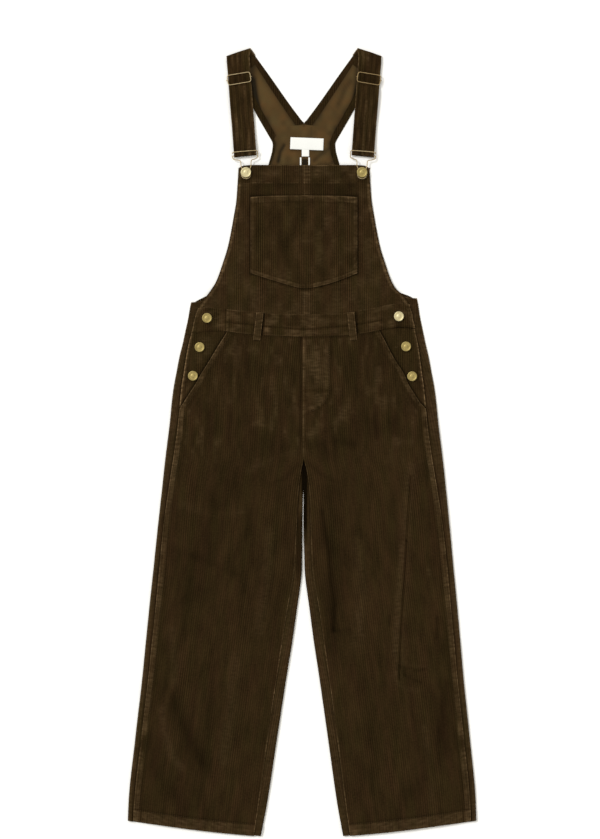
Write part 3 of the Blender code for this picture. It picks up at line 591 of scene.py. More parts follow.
def corduroy(name, tone=1.0, clarity=0.46, streaky=0.8, patchy=1.0):
    """Corduroy finish: how light it is, how clear its wales are, and how strong its streaks
    and patches are."""
    finish = Finish(name, roughness=0.9, sheen_weight=SHEEN, sheen_roughness=0.5,
                    sheen_tint=SHEEN_BROWN)
    finish.give("Specular IOR Level", CLOTH_GLOSS)
    finish.give("Specular Tint", SHEEN_BROWN)
    on_cloth = finish.node("ShaderNodeUVMap", uv_map="cloth")
    lengthwise = finish.stretched(on_cloth, 1.0, STREAK_LENGTH, 1.0)
    across = finish.node("ShaderNodeSeparateXYZ", {0: on_cloth})
    turn = finish.node("ShaderNodeMath", {0: across * RIDGE_TURNS}, operation="COSINE")
    pile = finish.noise(on_cloth, PILE_SCALE)
    nap = finish.noise(on_cloth, NAP_SCALE)
    streaks = finish.noise(lengthwise, STREAK_SCALE)
    patches = finish.noise(finish.stretched(on_cloth, 1.0, PATCH_LENGTH, 1.0), PATCH_SCALE, 4.0)
    clouds = finish.noise(finish.in_place(), CLOUD_SCALE, 3.0)
    raised = finish.noise(finish.stretched(on_cloth, PUCKER_BREADTH, 1.0, 1.0), PUCKER_SCALE, 1.0)
    pucker = (PUCKER_GAIN * raised - PUCKER_CUT).above_zero()
    clear = clarity * (CLEAR_GAIN * finish.noise(lengthwise, CLEAR_SCALE) - CLEAR_CUT).above_zero()
    ridge = 0.5 - clear * turn * 0.5
    hue = HUE_GAIN * finish.noise(lengthwise, HUE_SCALE) - HUE_CUT
    # The grooves between the wales are painted dark as shade, and the ridges lighter.
    colour = finish.mix(ridge * (LIT_BASE + LIT_PILE * pile), GROOVE_SHADE_BROWN,
                        finish.mix(hue, RIDGE_RED, RIDGE_OLIVE))
    uneven = patchy * patches + CLOUD_SHARE * clouds + streaky * streaks + nap
    uneven = uneven + (EVEN_TONE - 0.5 * (streaky + patchy))
    # Below 0 the cloth's attribute is painted shade and darkens the colour. Above 0 it is rubbed
    # wear, and on the fly's seam edge a painted highlight, and mixes in pale brown.
    shade_and_wear = finish.worn()
    rubbed = shade_and_wear.above_zero()
    colour = finish.shade(colour, tone * uneven * (1.0 + PAINTED_SHADE_STRENGTH * shade_and_wear.below_zero()))
    pale_share = rubbed * (RUBBED_BASE + RUBBED_PILE * pile + RUBBED_PUCKER * pucker)
    finish.give("Base Color", finish.mix(pale_share, colour, WEAR_AND_HIGHLIGHT_BROWN))
    height = pile + 0.6 * ridge + 0.8 * nap + 2.0 * rubbed * pucker
    finish.bump(height, BUMP_STRENGTH, BUMP_DEPTH)
    return finish


corduroy_brown = corduroy("corduroy", 0.97, patchy=0.8)
clear_corduroy = corduroy("corduroy_top", 1.02, 0.66)

# Just under the crotch the legs lie close together, and the gap runs a little to the left.
# The right leg's inner fold is moved in over the gap, and both legs' cloth down in it is
# painted near black as the crevice's shade; painted shade also darkens the left leg beside
# its inner fold.
Gap = namedtuple("Gap", "y left right")
GAP_SHIFT = (Gap(20, 0.0, 0.0), Gap(-50, -0.3, -0.3), Gap(-84, -0.9, -1.8), Gap(-93, 0.5, -1.9),
             Gap(-150, 0.7, -2.2), Gap(-214, 0.5, -0.5), Gap(-298, 0.0, 0.0))
GAP_SHADE = 1.3
GAP_SHADE_REACH = {-1: 4.4, 1: 5.8}
GAP_SHADE_STRETCH = {-1: Stretch(-25.0, 9.0, -96.0, 12.0), 1: Stretch(-25.0, 9.0, -186.0, 46.0)}
LEFT_FOLD_SHADE = 0.7
LEFT_FOLD_REACH = 13.5
LEFT_FOLD_STRETCH = Stretch(-120.0, 22.0, -250.0, 36.0)


def inner_fold(side, y):
    """Half distance of the fold round the inside of a leg."""
    return body("inner", y) + read(GAP_SHIFT, "left" if side < 0 else "right", "y", y)


def gap_shade(side, half, y):
    """How dark the cloth is down between the legs, where no light gets in."""
    shade = GAP_SHADE * within(y, GAP_SHADE_STRETCH[side])
    shade = shade * ease((GAP_SHADE_REACH[side] + 0.8 - half) / 1.6)
    if side > 0:
        return shade
    beside = within(y, LEFT_FOLD_STRETCH) * ease((LEFT_FOLD_REACH - half) / 3.0)
    return shade + LEFT_FOLD_SHADE * beside


def leg_back(side):
    """Form of a back leg. u runs outwards from the leg's middle, over the folds too."""
    def form(u, v):
        along, lift = turn_over(v, BACK_LENGTH, HEM_RADIUS)
        middle = BACK_TOP_Y - along
        y = middle
        for _ in range(BACK_ROUNDS):
            fold_radius, inner_radius = body("fold_top", y) / 2, body("inner_top", y) / 2
            inner_side = inner_fold(side, y)
            outer_start = body("fold", y) - fold_radius
            inner_start = inner_side + inner_radius
            outer_run = outer_start - body("edge", y) - SEAM_GAP
            inseam = np.maximum(body("inseam", y) - SEAM_GAP, inner_side + SEAM_ALLOWANCE)
            inner_run = inseam - inner_start
            outer_arc, inner_arc = math.pi * fold_radius, math.pi * inner_radius
            outer_end = outer_start + outer_arc + outer_run
            inner_end = inner_start - inner_arc - inner_run
            spread = np.clip(grain(y) + u, inner_end - TUCK, outer_end + TUCK)
            outer_turn = np.clip((spread - outer_start) / fold_radius, 0.0, math.pi)
            inner_turn = np.clip((inner_start - spread) / inner_radius, 0.0, math.pi)
            half = np.clip(spread, inner_start, outer_start)
            half = half + fold_radius * np.sin(outer_turn) - inner_radius * np.sin(inner_turn)
            half = half - np.maximum(spread - outer_start - outer_arc, 0.0)
            half = half + np.maximum(inner_start - inner_arc - spread, 0.0)
            share = (half - inner_side) / (body("fold", y) - inner_side)
            y = middle + (share - 0.5) * slant(middle) - hem_bow(share - 0.5, middle)
        level = fold_radius * (1 - np.cos(outer_turn)) + inner_radius * (1 - np.cos(inner_turn))
        past = np.maximum(spread - outer_end, inner_end - spread)
        level = level - TUCK_DROP * ease(past / (0.6 * TUCK))
        top_side = np.maximum(outer_turn, inner_turn) > math.pi / 2
        inwards = np.where(top_side, -1.0, 1.0)
        lumps = BACK_LEG_LUMPS * (1.0 + dapple(side * spread, y, 26.0, 5 + side))
        level = level + inwards * (groove(u) + lift + lumps)
        seam = np.maximum(np.minimum(outer_end - spread, spread - inner_end), 0.0)
        level = level - np.where(top_side, SEAM_DIP, 0.0) * near(seam, 0.0, 2.6)
        # Painted shadow beside each seam, where the front's edge lies over this panel.
        seam_shadow = np.where(spread > grain(y), OUTSEAM_SHADOW, INSEAM_SHADOW) * near(seam, 0.0, 1.7)
        worn = LEG_WORN + FOLD_RUBBED * near(spread - outer_start, outer_arc / 2, 4.0)
        worn = worn - seam_shadow + HEM_RUBBED * near(v, BACK_LENGTH, 1.2) - gap_shade(side, half, y)
        return place(side, half, y, np.maximum(level, 0.0)), (spread - grain(y), v), worn

    return form


back_rows = rows_down(-TUCK, BACK_LENGTH + HEM_TURN, BACK_LEG_STEP,
                      (0.0, BACK_LENGTH, BACK_LENGTH + 1.5))
for tag, side in SIDES:
    piece = cloth("corduroy_leg_back_" + tag, wales(-BACK_LEG_REACH, BACK_LEG_REACH), back_rows,
                  leg_back(side), corduroy_brown, faces_up=False)
    dress(piece, "corduroy", "leg_back_" + tag)

# ------------------------------------------------------------------------------------------
# Back waistband: a doubled band that lies flat on the floor. Only its ends show, beside the
# front, with the corner of the side opening.

BACK_WAIST_REACH = 212.0
BACK_WAIST_TOP = 2.0
BACK_WAIST_PEAK_Y = 254.0
BACK_WAIST_FALL = 7.0
BACK_WAIST_FALL_HALF = 150.0
BACK_WAIST_FALL_SPREAD = 48.0
BACK_WAIST_HEIGHT = 65.0
BACK_WAIST_STEP = 9.0
BACK_WAIST_WALL = 1.5
BACK_WAIST_ROW = 2.0
FLOOR_CLEAR = 0.05


def waistband_back(u, v):
    """Form of the back waistband. v is the share of its height, from its top."""
    half = np.abs(u)
    for _ in range(BACK_ROUNDS):
        fall = ease((half - BACK_WAIST_FALL_HALF) / BACK_WAIST_FALL_SPREAD)
        top_y = BACK_WAIST_PEAK_Y - BACK_WAIST_FALL * fall
        y = top_y + (BACK_TOP_Y + SEAM_GAP - top_y) * v
        half = np.minimum(np.abs(u), body("fold", y))
    ends = body("fold", y) - half
    end_rise, end_wear_and_shade = sewn_edge(ends, y, (BACK_WAIST_ROW,), 0.0)
    top_rise, top_wear_and_shade = sewn_edge(top_y - y, u, (BACK_WAIST_ROW,), 0.0, 3)
    level = BACK_WAIST_TOP - groove(u) + np.minimum(end_rise, top_rise)
    level = np.maximum(level, BACK_WAIST_WALL + FLOOR_CLEAR)
    return place(np.sign(u), half, y, level), (u, y), end_wear_and_shade + top_wear_and_shade + 0.08


back_waist_rows = rows_down(0.0, BACK_WAIST_HEIGHT, BACK_WAIST_STEP, (0.0,)) / BACK_WAIST_HEIGHT
piece = cloth("corduroy_waistband_back", wales(-BACK_WAIST_REACH, BACK_WAIST_REACH),
              back_waist_rows, waistband_back, corduroy_brown, wall=BACK_WAIST_WALL)
dress(piece, "corduroy", "waistband_back")

# ------------------------------------------------------------------------------------------
# Back yoke: two halves that meet in the centre back seam and run up to the straps. Its edges
# are turned to the inside as dark borders round the lining.

Yoke = namedtuple("Yoke", "outer outer_y inner inner_y")
YOKE = (
    Yoke(127.7, 662.3, 87.0, 677.5), Yoke(106.5, 619.0, 58.6, 638.0),
    Yoke(85.4, 577.0, 25.6, 591.0), Yoke(71.8, 553.0, 5.5, 564.0),
    Yoke(64.2, 540.0, 0.0, 556.4), Yoke(54.7, 521.0, 0.0, 532.0),
    Yoke(55.6, 510.0, 0.0, 512.0), Yoke(62.5, 484.0, 0.0, 484.0),
    Yoke(70.0, 451.0, 0.0, 451.0), Yoke(95.0, 367.0, 0.0, 367.0),
    Yoke(120.0, 311.0, 0.0, 311.0), Yoke(150.0, 269.0, 0.0, 275.0),
    Yoke(190.0, 248.4, 0.0, 254.4),
)
YOKE_REACH = 191.0
YOKE_ROWS = 60
YOKE_WALL = 0.9
YOKE_LUMPS = 0.15
NECK_FOOT_Y = 553.0
NECK_SLOPE = 0.85
NECK_ROW = 1.8
FAR = 999.0


def yoke_spot(table, u, v):
    """Half distance, height and insets of a panel between an outer and an inner edge. v is
    the number of a row of its table."""
    outer, inner = read(table, "outer", None, v), read(table, "inner", None, v)
    outer_y, inner_y = read(table, "outer_y", None, v), read(table, "inner_y", None, v)
    half = np.clip(u, inner, outer)
    y = outer_y + (inner_y - outer_y) * (outer - half) / (outer - inner)
    return half, y, outer - half, half - inner


def from_neck_edge(from_outer, from_inner, y):
    """Distance to the nearer turned edge. Below the neck the halves meet in a seam."""
    return np.minimum(from_outer, np.where(y > NECK_FOOT_Y, from_inner, FAR)) * NECK_SLOPE


def yoke(side):
    """Form of half of the yoke. v is the number of a row of its table."""
    def form(u, v):
        half, y, from_outer, from_inner = yoke_spot(YOKE, u, v)
        rise, worn = sewn_edge(from_neck_edge(from_outer, from_inner, y), y, (NECK_ROW,), 0.0, 7)
        level = CLOTH - groove(half) + rise + YOKE_LUMPS * dapple(side * half, y, 18.0, 9)
        level = np.maximum(level, YOKE_WALL + FLOOR_CLEAR)
        return place(side, half, y, level), (half, y), 0.4 * worn - 0.15

    return form


for tag, side in SIDES:
    piece = cloth("corduroy_back_yoke_" + tag, wales(0.0, YOKE_REACH),
                  np.linspace(0.0, len(YOKE) - 1, YOKE_ROWS), yoke(side), corduroy_brown,
                  wall=YOKE_WALL)
    dress(piece, "corduroy", "back_yoke_" + tag)

# ------------------------------------------------------------------------------------------
# Lining of the yoke: plain brown cotton, a little lighter than the corduroy, sewn down inside
# the dark borders. It has a join beside the centre and a few loose folds near the bib.

LINING_CLOTH = 1.0
LAYER_GAP = 0.35
LINING_TOP = CLOTH + LAYER_GAP + LINING_CLOTH
Lining = namedtuple("Lining", "outer outer_y inner inner_y")
LINING = (
    Lining(103.0, 646.0, 85.5, 660.5), Lining(91.5, 614.0, 68.0, 633.0),
    Lining(70.5, 574.0, 37.0, 586.0), Lining(57.0, 550.0, 20.5, 562.5),
    Lining(53.2, 543.5, 13.2, 554.1), Lining(50.0, 537.0, 0.0, 556.0),
    Lining(45.5, 521.0, 0.0, 530.0), Lining(46.5, 508.0, 0.0, 510.0),
    Lining(54.0, 484.0, 0.0, 484.0), Lining(58.5, 462.0, 0.0, 462.0),
)
LINING_CREASES = (
    Crease(((-35, 519), (-41, 508), (-45, 490)), -1.2, 3.2),
    Crease(((-28, 514), (-33, 498), (-35, 480)), 0.7, 3.5),
    Crease(((18, 492), (32, 505), (46, 514)), -0.8, 3.2),
    Crease(((24, 486), (40, 497), (52, 503)), 0.7, 3.4),
    Crease(((34, 480), (50, 489)), -0.8, 3.0),
    Crease(((-70, 590), (-52, 560), (-44, 540)), 0.5, 6.0),
    Crease(((82, 631), (72, 619), (66, 602), (60, 590)), -1.0, 5.0),
    Crease(((62, 575), (48, 552), (30, 540)), 0.5, 7.0),
    Crease(((-88, 632), (-84, 606), (-80, 588)), -0.9, 6.5),
    Crease(((13, 550), (13, 530)), -0.4, 1.4),
)
LINING_BROWN = (0.118, 0.058, 0.018, 1.0)
LINING_OLIVE = (0.094, 0.062, 0.022, 1.0)
LINING_SHADE = (0.058, 0.035, 0.011, 1.0)
# Colour that painted shade darkens the lining towards.
LINING_PAINTED_SHADE = (0.012, 0.008, 0.003, 1.0)
LINING_CLOUD_SCALE = 22.0
LINING_HUE_SCALE = 38.0
LINING_GLOSS = 0.1
TWILL_SCALE = 900.0
TWILL_TURN = 0.8
TWILL_SHARE = 0.25
# The lining's left half reaches further out below the neck.
LINING_REACH = 0.10
LINING_REACH_Y = 537.0
LINING_REACH_FADE = 8.0
LINING_LUMPS = 0.2
LINING_LOWEST = 0.3
LINING_COLUMNS = 60
LINING_ROWS = 80
# Where the strap, the label and the loop keep the light off the lining.
SHOULDER_INNER = (96.3, 688.7)
STRAP_INNER_LEAN = 0.073
STRAP_SHADE = 0.75
STRAP_SHADE_WIDTH = {-1: 14.0, 1: 10.0}
LABEL_SHADE = 0.45
LABEL_SHADE_Y = 510.6
LABEL_SHADE_X = 5.0
LABEL_SHADE_HALF = 31.0
LOOP_SHADE = 0.8
LOOP_SHADE_Y = 498.0
LOOP_SHADE_X = 1.6
LOOP_SHADE_HALF = 6.0

lining_finish = Finish("lining_cotton", roughness=0.85)
lining_place = lining_finish.in_place()
lining_turned = lining_finish.node("ShaderNodeMapping",
                                   {"Vector": lining_place, "Rotation": (0.0, 0.0, TWILL_TURN)})
lining_twill = lining_finish.node("ShaderNodeTexWave",
                                  {"Vector": lining_turned, "Scale": TWILL_SCALE}, output="Fac")
lining_cloud = lining_finish.noise(lining_place, LINING_CLOUD_SCALE, 3.0)
lining_share = TWILL_SHARE * lining_twill + (1.0 - TWILL_SHARE) * lining_cloud
lining_hue = HUE_GAIN * lining_finish.noise(lining_place, LINING_HUE_SCALE) - HUE_CUT
lining_pale = lining_finish.mix(lining_hue, LINING_BROWN, LINING_OLIVE)
lining_tone = lining_finish.mix(lining_share, LINING_SHADE, lining_pale)
lining_finish.give("Specular IOR Level", LINING_GLOSS)
# On the lining the cloth attribute holds only painted shade, which darkens the colour.
lining_finish.give("Base Color", lining_finish.mix(lining_finish.worn(), lining_tone, LINING_PAINTED_SHADE))
lining_finish.bump(lining_twill, 0.25, 0.0002)


def strap_inner(y):
    """Half distance of the inner edge of the strap that lies over the lining."""
    return SHOULDER_INNER[0] - (SHOULDER_INNER[1] - y) * STRAP_INNER_LEAN


def lining(side):
    """Form of half of the lining, in its folds and with what shades it."""
    def form(u, v):
        half, y, from_outer, from_inner = yoke_spot(LINING, u, v)
        if side < 0:
            half = half * (1.0 + LINING_REACH * ease((LINING_REACH_Y - y) / LINING_REACH_FADE))
        offset = side * half
        inset = from_neck_edge(from_outer, from_inner, y)
        rise, _ = sewn_edge(inset, y, (NECK_ROW,), 0.0, 11)
        folds = crease_rise(LINING_CREASES, offset, y)
        level = LINING_TOP + rise + LINING_LUMPS * dapple(offset, y, 14.0, 13) + folds
        # Painted shade along the turned borders and in the fold hollows, painted shadows of the
        # strap, the label and the hanger loop, and lower down darker lumps.
        shaded = 0.55 * fading(inset, 3.2) - 0.5 * np.minimum(folds, 0.0)
        past_strap = half - strap_inner(y) + STRAP_SHADE_WIDTH[side]
        shaded = shaded + STRAP_SHADE * ease(past_strap / 12.0)
        under_label = near(y, LABEL_SHADE_Y, 2.6)
        under_label = under_label * ease((LABEL_SHADE_HALF - np.abs(offset - LABEL_SHADE_X)) / 4.0)
        in_loop = ease((LOOP_SHADE_HALF - np.abs(offset - LOOP_SHADE_X)) / 2.0)
        in_loop = in_loop * ease((LOOP_SHADE_Y - y) / 4.0)
        shaded = shaded + LABEL_SHADE * under_label + LOOP_SHADE * in_loop
        low = 1.0 - ease((y - 575.0) / 20.0)
        shaded = shaded + 0.17 * low * (1.0 + dapple(offset, y, 9.0, 17))
        level = np.maximum(level, CLOTH + LINING_LOWEST)
        return place(side, half, y, level), (half, y), shaded

    return form


for tag, side in SIDES:
    piece = cloth("lining_cloth_" + tag, np.linspace(0.0, LINING[0].outer, LINING_COLUMNS),
                  np.linspace(0.0, len(LINING) - 1, LINING_ROWS), lining(side), lining_finish)
    dress(piece, "lining", "yoke_lining_" + tag)

# ------------------------------------------------------------------------------------------
# Front legs: one panel of corduroy a side, cut away at the slanted pocket mouth, with turned
# and twice stitched edges there and down the outseam, a turned hem, and a mock fly that is
# only a raised and stitched shape on the right leg. Soft creases lie where the legs were bent.

FRONT_TOP_Y = 189.0
FRONT_LENGTH = FRONT_TOP_Y - HEM_MIDDLE_Y
WAIST_BOW_FADE = 110.0
EDGE_REACH = 16.0
Across = namedtuple("Across", "half y")
WAIST_BOTTOM = (Across(0, 183.5), Across(45, 185.2), Across(71, 186.2), Across(98, 189.2),
                Across(115, 191.6), Across(136, 195.4), Across(160, 195.8), Across(196, 192.0))
Mouth = namedtuple("Mouth", "y half")
POCKET_MOUTH = (Mouth(196, 132.5), Mouth(175, 144.0), Mouth(158, 152.7), Mouth(142, 162.0),
                Mouth(117.5, 178.4), Mouth(100, 188.3), Mouth(82.7, 199.8), Mouth(69.6, 207.8),
                Mouth(62, 213.0), Mouth(57, 215.9))
MOUTH_FOOT_Y = 57.0
MOUTH_TILT = 0.85
MOUTH_BOW_OUT = 2.3
MOUTH_BOW_IN = 3.4
MOUTH_BOW_STRETCH = Stretch(128.0, 36.0, 57.0, 14.0)
MOUTH_ROW = 8.2
MOUTH_RUBBED = {-1: 1.15, 1: 0.5}
OUTSEAM_ROW = 9.6
OUTSEAM_RUBBED = 0.72
MOUTH_PUFF = 0.35
OUTSEAM_PUFF = 0.55
MOUTH_TONE = 0.17
OUTSEAM_TONE = 0.25
EDGE_ROW = 1.6
# Painted shadow on each leg just under the waistband.
UNDER_WAIST_SHADOW = {-1: 0.25, 1: 0.45}
FRONT_LEG_STEP = 5.2
FRONT_LEG_REACH = 119.0
FRONT_LUMPS_SEED = 31
FLY_HALF = 47.0
FLY_FOOT_Y = 51.0
FLY_ROUND = 44.0
FLY_RISE = 0.7
FLY_BAR_Y = 90.5
FLY_BAR_RISE = 0.5
FLY_LOW_BAR_Y = 57.0
SEAM_STEP = 0.8
SEAM_DITCH = 0.9
WornSpot = namedtuple("WornSpot", "x y width height worn")
WORN_SPOTS = (WornSpot(-219.6, 31.0, 2.6, 17.0, 0.55), WornSpot(-211.3, 30.0, 2.2, 25.0, 0.26),
              WornSpot(90.0, -686.0, 7.0, 9.0, 0.34))
CREASES = (
    Crease(((190, -42), (180, -131), (178, -198), (174, -254), (170, -331), (166, -413)), 1.8, 9.0),
    Crease(((54, -84), (56, -200), (52, -365)), -1.3, 17.0),
    Crease(((250, -434), (243, -548), (199, -615)), -1.2, 18.0),
    Crease(((-237, -436), (-219, -480), (-197, -525), (-174, -570)), -1.6, 18.0),
    Crease(((-268, -525), (-254, -581), (-206, -637)), -1.4, 16.0),
    Crease(((-120, -60), (-165, -150), (-190, -260)), -1.0, 22.0),
    Crease(((40, -20), (110, 20), (165, 40)), -1.0, 18.0),
    Crease(((-40, -20), (-105, 25), (-160, 50)), -1.0, 18.0),
)
SMALL_CREASES = (
    Crease(((189, -60), (185.5, -100), (183.5, -131), (180.8, -172)), -1.6, 2.0),
    Crease(((180.8, -172), (178.2, -219), (175, -266), (172, -314), (169.8, -361), (168.4, -418)),
           -2.3, 1.8),
    Crease(((172, -180), (168, -240), (163, -310), (160, -370)), 0.7, 5.0),
    Crease(((168, -392), (184, -398), (199, -400), (215, -398)), -0.9, 2.2),
    Crease(((168, -388), (192, -392), (217, -395)), 0.6, 3.0),
    Crease(((176, -407), (190, -414), (207, -422)), -1.0, 2.2),
    Crease(((165, -421), (180, -432), (203, -436)), 0.6, 4.0),
    Crease(((33, -122), (38, -156), (44, -191), (48, -244), (55, -286), (53, -330)), -1.5, 4.6),
    Crease(((94, -300), (99, -318), (103, -338)), 0.9, 4.0),
    Crease(((152, -304), (151, -320)), -1.0, 2.2),
    Crease(((218, -222), (221, -232)), 0.9, 4.0),
    Crease(((-245, -471), (-241, -507), (-230, -547), (-212, -569)), 1.0, 8.0),
    Crease(((-224, -420), (-236, -452), (-243, -468)), 0.7, 7.0),
    Crease(((-197, -240), (-204, -300), (-216, -356)), -0.7, 7.0),
    Crease(((250, -420), (246, -480), (236, -530)), -0.5, 6.0),
    Crease(((-232, -436), (-212, -489), (-176, -560), (-165, -582)), -0.5, 8.5),
    Crease(((54, -330), (68, -333), (80, -331)), -0.7, 4.5),
    Crease(((234, -308), (235, -328), (233, -344)), -1.3, 4.0),
    Crease(((14, 12), (40, 30), (74, 41)), 0.8, 6.0),
    Crease(((12, -8), (52, 2), (92, -6)), -0.7, 6.0),
    Crease(((-12, 6), (-46, 24), (-88, 30)), 0.8, 6.5),
    Crease(((-14, -18), (-58, -30), (-96, -52)), 0.6, 7.5),
    Crease(((-8, -40), (-30, -62), (-60, -76)), -0.8, 4.5),
    Crease(((8, -38), (30, -58), (58, -70)), -0.8, 4.5),
    Crease(((-210, -110), (-160, -128), (-104, -121)), 0.6, 8.0),
    Crease(((-224, -190), (-176, -206), (-118, -232)), -0.6, 8.0),
    Crease(((-60, -160), (-66, -250), (-78, -330)), 0.7, 10.0),
    Crease(((-92, -120), (-99, -210), (-108, -300)), -0.6, 9.0),
    Crease(((96, -180), (101, -270), (94, -352)), 0.6, 12.0),
    Crease(((118, -470), (126, -540), (122, -612)), -0.7, 11.0),
    Crease(((-118, -380), (-126, -470), (-139, -560)), 0.7, 11.0),
    Crease(((-156, -390), (-163, -480), (-172, -560)), -0.7, 9.0),
    Crease(((-96, 150), (-104, 92), (-92, 34)), -0.6, 8.0),
    Crease(((84, 150), (92, 96), (112, 40)), -0.6, 8.0),
    Crease(((215, -500), (223, -560), (226, -622)), 0.7, 8.0),
    Crease(((-229, -330), (-222, -396), (-236, -452)), 0.6, 8.0),
)


def mouth_half(side, y):
    """Half distance of a pocket mouth. The left one bows outwards and the right one inwards."""
    half = read(POCKET_MOUTH, "half", "y", y)
    if side < 0:
        return half + MOUTH_BOW_OUT * near(y, 155.0, 28.0)
    return half - MOUTH_BOW_IN * within(y, MOUTH_BOW_STRETCH)


def across_body(table, half):
    return read(table, "y", "half", np.abs(half))


def front_level(offset, y):
    """Top of the front cloth: a low crown that drops to its side and to its inseam."""
    half = np.abs(offset)
    middle = body("middle_top", y)
    side_drop = (middle - body("edge_top", y)) * fading(body("edge", y) - half, EDGE_REACH)
    inner_drop = (middle - body("inseam_top", y)) * fading(half - body("inseam", y), EDGE_REACH)
    return middle - side_drop - inner_drop + crease_rise(CREASES, offset, y)


def unevenness(x, y, seed):
    """Small lumps and hollows of old cloth that has often been washed."""
    return 0.32 * dapple(x, y, 31.0, seed) + 0.2 * dapple(x, y * 0.7, 12.0, seed + 1)


def fly_edge(y):
    """How far the mock fly reaches from the centre seam, round its foot too."""
    down = np.clip((FLY_FOOT_Y + FLY_ROUND - y) / FLY_ROUND, 0.0, 1.0)
    return FLY_HALF * np.sqrt(1.0 - down**2)


def fly_relief(offset, y):
    """The mock fly: a raised tongue right of the centre, its curved stitching and its bar."""
    edge = fly_edge(y)
    inside = ease((edge - offset) / 3.5) * (y > FLY_FOOT_Y) * (offset > 0.0)
    outside = near(offset - edge, 1.0, 3.0) * (y > FLY_FOOT_Y) * (offset > 2.0)
    rise = FLY_RISE * (inside - outside) + FLY_BAR_RISE * inside * ease((y - FLY_BAR_Y) / 2.5)
    step = SEAM_STEP * ease((offset + 0.6) / 1.2) - SEAM_DITCH * near(offset, -4.0, 3.6)
    return rise + step * ease((y + 30.0) / 60.0)


def fly_tone(offset, y):
    """Painted shade beside the mock fly and left of the centre seam, a painted highlight on the
    seam's raised edge, and light and dark lines at the fly's bars.
    """
    edge = fly_edge(y)
    # Painted shade in the dip beside the fly's raised edge.
    beside = near(offset - edge, 2.0, 3.4) * (offset > 2.0) * (y > FLY_FOOT_Y - 2.0)
    # Painted highlight on the seam's step, and painted shade in the dip left of it.
    seam = 0.42 * near(offset, -0.3, 1.2) - 0.4 * near(offset, -4.2, 2.8)
    bars = 0.3 * near(y, FLY_BAR_Y - 3.5, 1.8) - 0.4 * near(y, FLY_BAR_Y, 1.6)
    bars = bars + 0.4 * near(y, FLY_LOW_BAR_Y, 1.6) * ease((26.0 - offset) / 4.0)
    bars = bars * (offset > 1.0) * ease((edge - offset) / 3.0)
    return bars - 0.36 * beside + seam * ease((y + 40.0) / 60.0)


def leg_front_spot(side, u, v):
    """Half distance and height of points of a front leg, and its edges there."""
    middle = FRONT_TOP_Y - v
    bow = np.clip(1.0 - v / WAIST_BOW_FADE, 0.0, 1.0)
    half = grain(middle) + u
    for _ in range(FRONT_ROUNDS):
        breadth = body("edge", middle) - body("inseam", middle)
        share = (half - body("inseam", middle)) / breadth - 0.5
        waist = across_body(WAIST_BOTTOM, half) - FRONT_TOP_Y - SEAM_GAP
        y = middle + bow * waist + share * slant(middle) - hem_bow(share, middle)
        mouth = np.where(y > MOUTH_FOOT_Y, mouth_half(side, y), FAR)
        outer = np.minimum(body("edge", y), mouth)
        inner = body("inseam", y)
        half = np.clip(grain(y) + u, inner, outer)
    return half, y, outer, inner


def leg_front(side):
    """Form of a front leg. u runs outwards from the leg's middle."""
    def form(u, v):
        along, lift = turn_over(v, FRONT_LENGTH, HEM_RADIUS)
        half, y, outer, inner = leg_front_spot(side, u, along)
        offset = side * half
        above_hem = FRONT_LENGTH - along
        at_mouth = y > MOUTH_FOOT_Y
        inset = (outer - half) * np.where(at_mouth, MOUTH_TILT, 1.0)
        second_row = np.where(at_mouth, MOUTH_ROW, OUTSEAM_ROW)
        side_rise, side_wear_and_shade = sewn_edge(inset, y, (EDGE_ROW, second_row),
                                         np.where(at_mouth, MOUTH_PUFF, OUTSEAM_PUFF), 21,
                                         np.where(at_mouth, MOUTH_RUBBED[side], OUTSEAM_RUBBED),
                                         np.where(at_mouth, MOUTH_TONE, OUTSEAM_TONE))
        from_inseam = half - inner + np.where(y > -40.0, 4.0, 0.0)
        inseam_rise, inseam_wear_and_shade = sewn_edge(from_inseam, y, (EDGE_ROW,), 0.1, 23)
        hem_rise, hem_wear_and_shade = sewn_edge(above_hem, half, (HEM_STITCH,), 0.35, 25)
        folds = crease_rise(SMALL_CREASES, offset, y)
        fly = fly_relief(offset, y)
        level = front_level(offset, y) - groove(half - grain(y)) + side_rise + inseam_rise
        level = level + hem_rise + folds + unevenness(offset, y, FRONT_LUMPS_SEED) + fly
        level = level - TUCK_DROP * ease(-v / (0.6 * TUCK)) - lift
        worn = side_wear_and_shade + 1.3 * inseam_wear_and_shade + 0.6 * hem_wear_and_shade
        # Painted shadow just under the waistband and painted shade in the furrow above the hem
        # stitching; below that stitching the hem is a little lighter, and past the padded side band
        # the cloth is a little darker.
        worn = worn - UNDER_WAIST_SHADOW[side] * near(v, 1.0, 1.9)
        worn = worn - 0.3 * near(above_hem, HEM_STITCH + 1.0, 1.8)
        worn = worn + 0.1 * ease((HEM_STITCH - 1.0 - above_hem) / 2.0)
        worn = worn - 0.16 * near(inset, second_row + 3.2, 2.2)
        # Crease hollows are painted darker as shade and crease tops lighter; the mock fly is
        # lighter where it stands highest, and has its own painted shade and highlight.
        worn = worn + hollow_tone(folds + 0.6 * crease_rise(CREASES, offset, y))
        worn = worn + 0.12 * ease((fly - 0.9) / 0.4) + fly_tone(offset, y)
        worn = worn + 0.16 * dapple(offset, y * 0.45, 8.0, 35) * ease((y + 60.0) / 70.0)
        for spot in WORN_SPOTS:
            at_spot = near(offset, spot.x, spot.width) * near(y, spot.y, spot.height)
            worn = worn + spot.worn * at_spot
        return place(side, half, y, level), (half - grain(y), v), worn

    return form


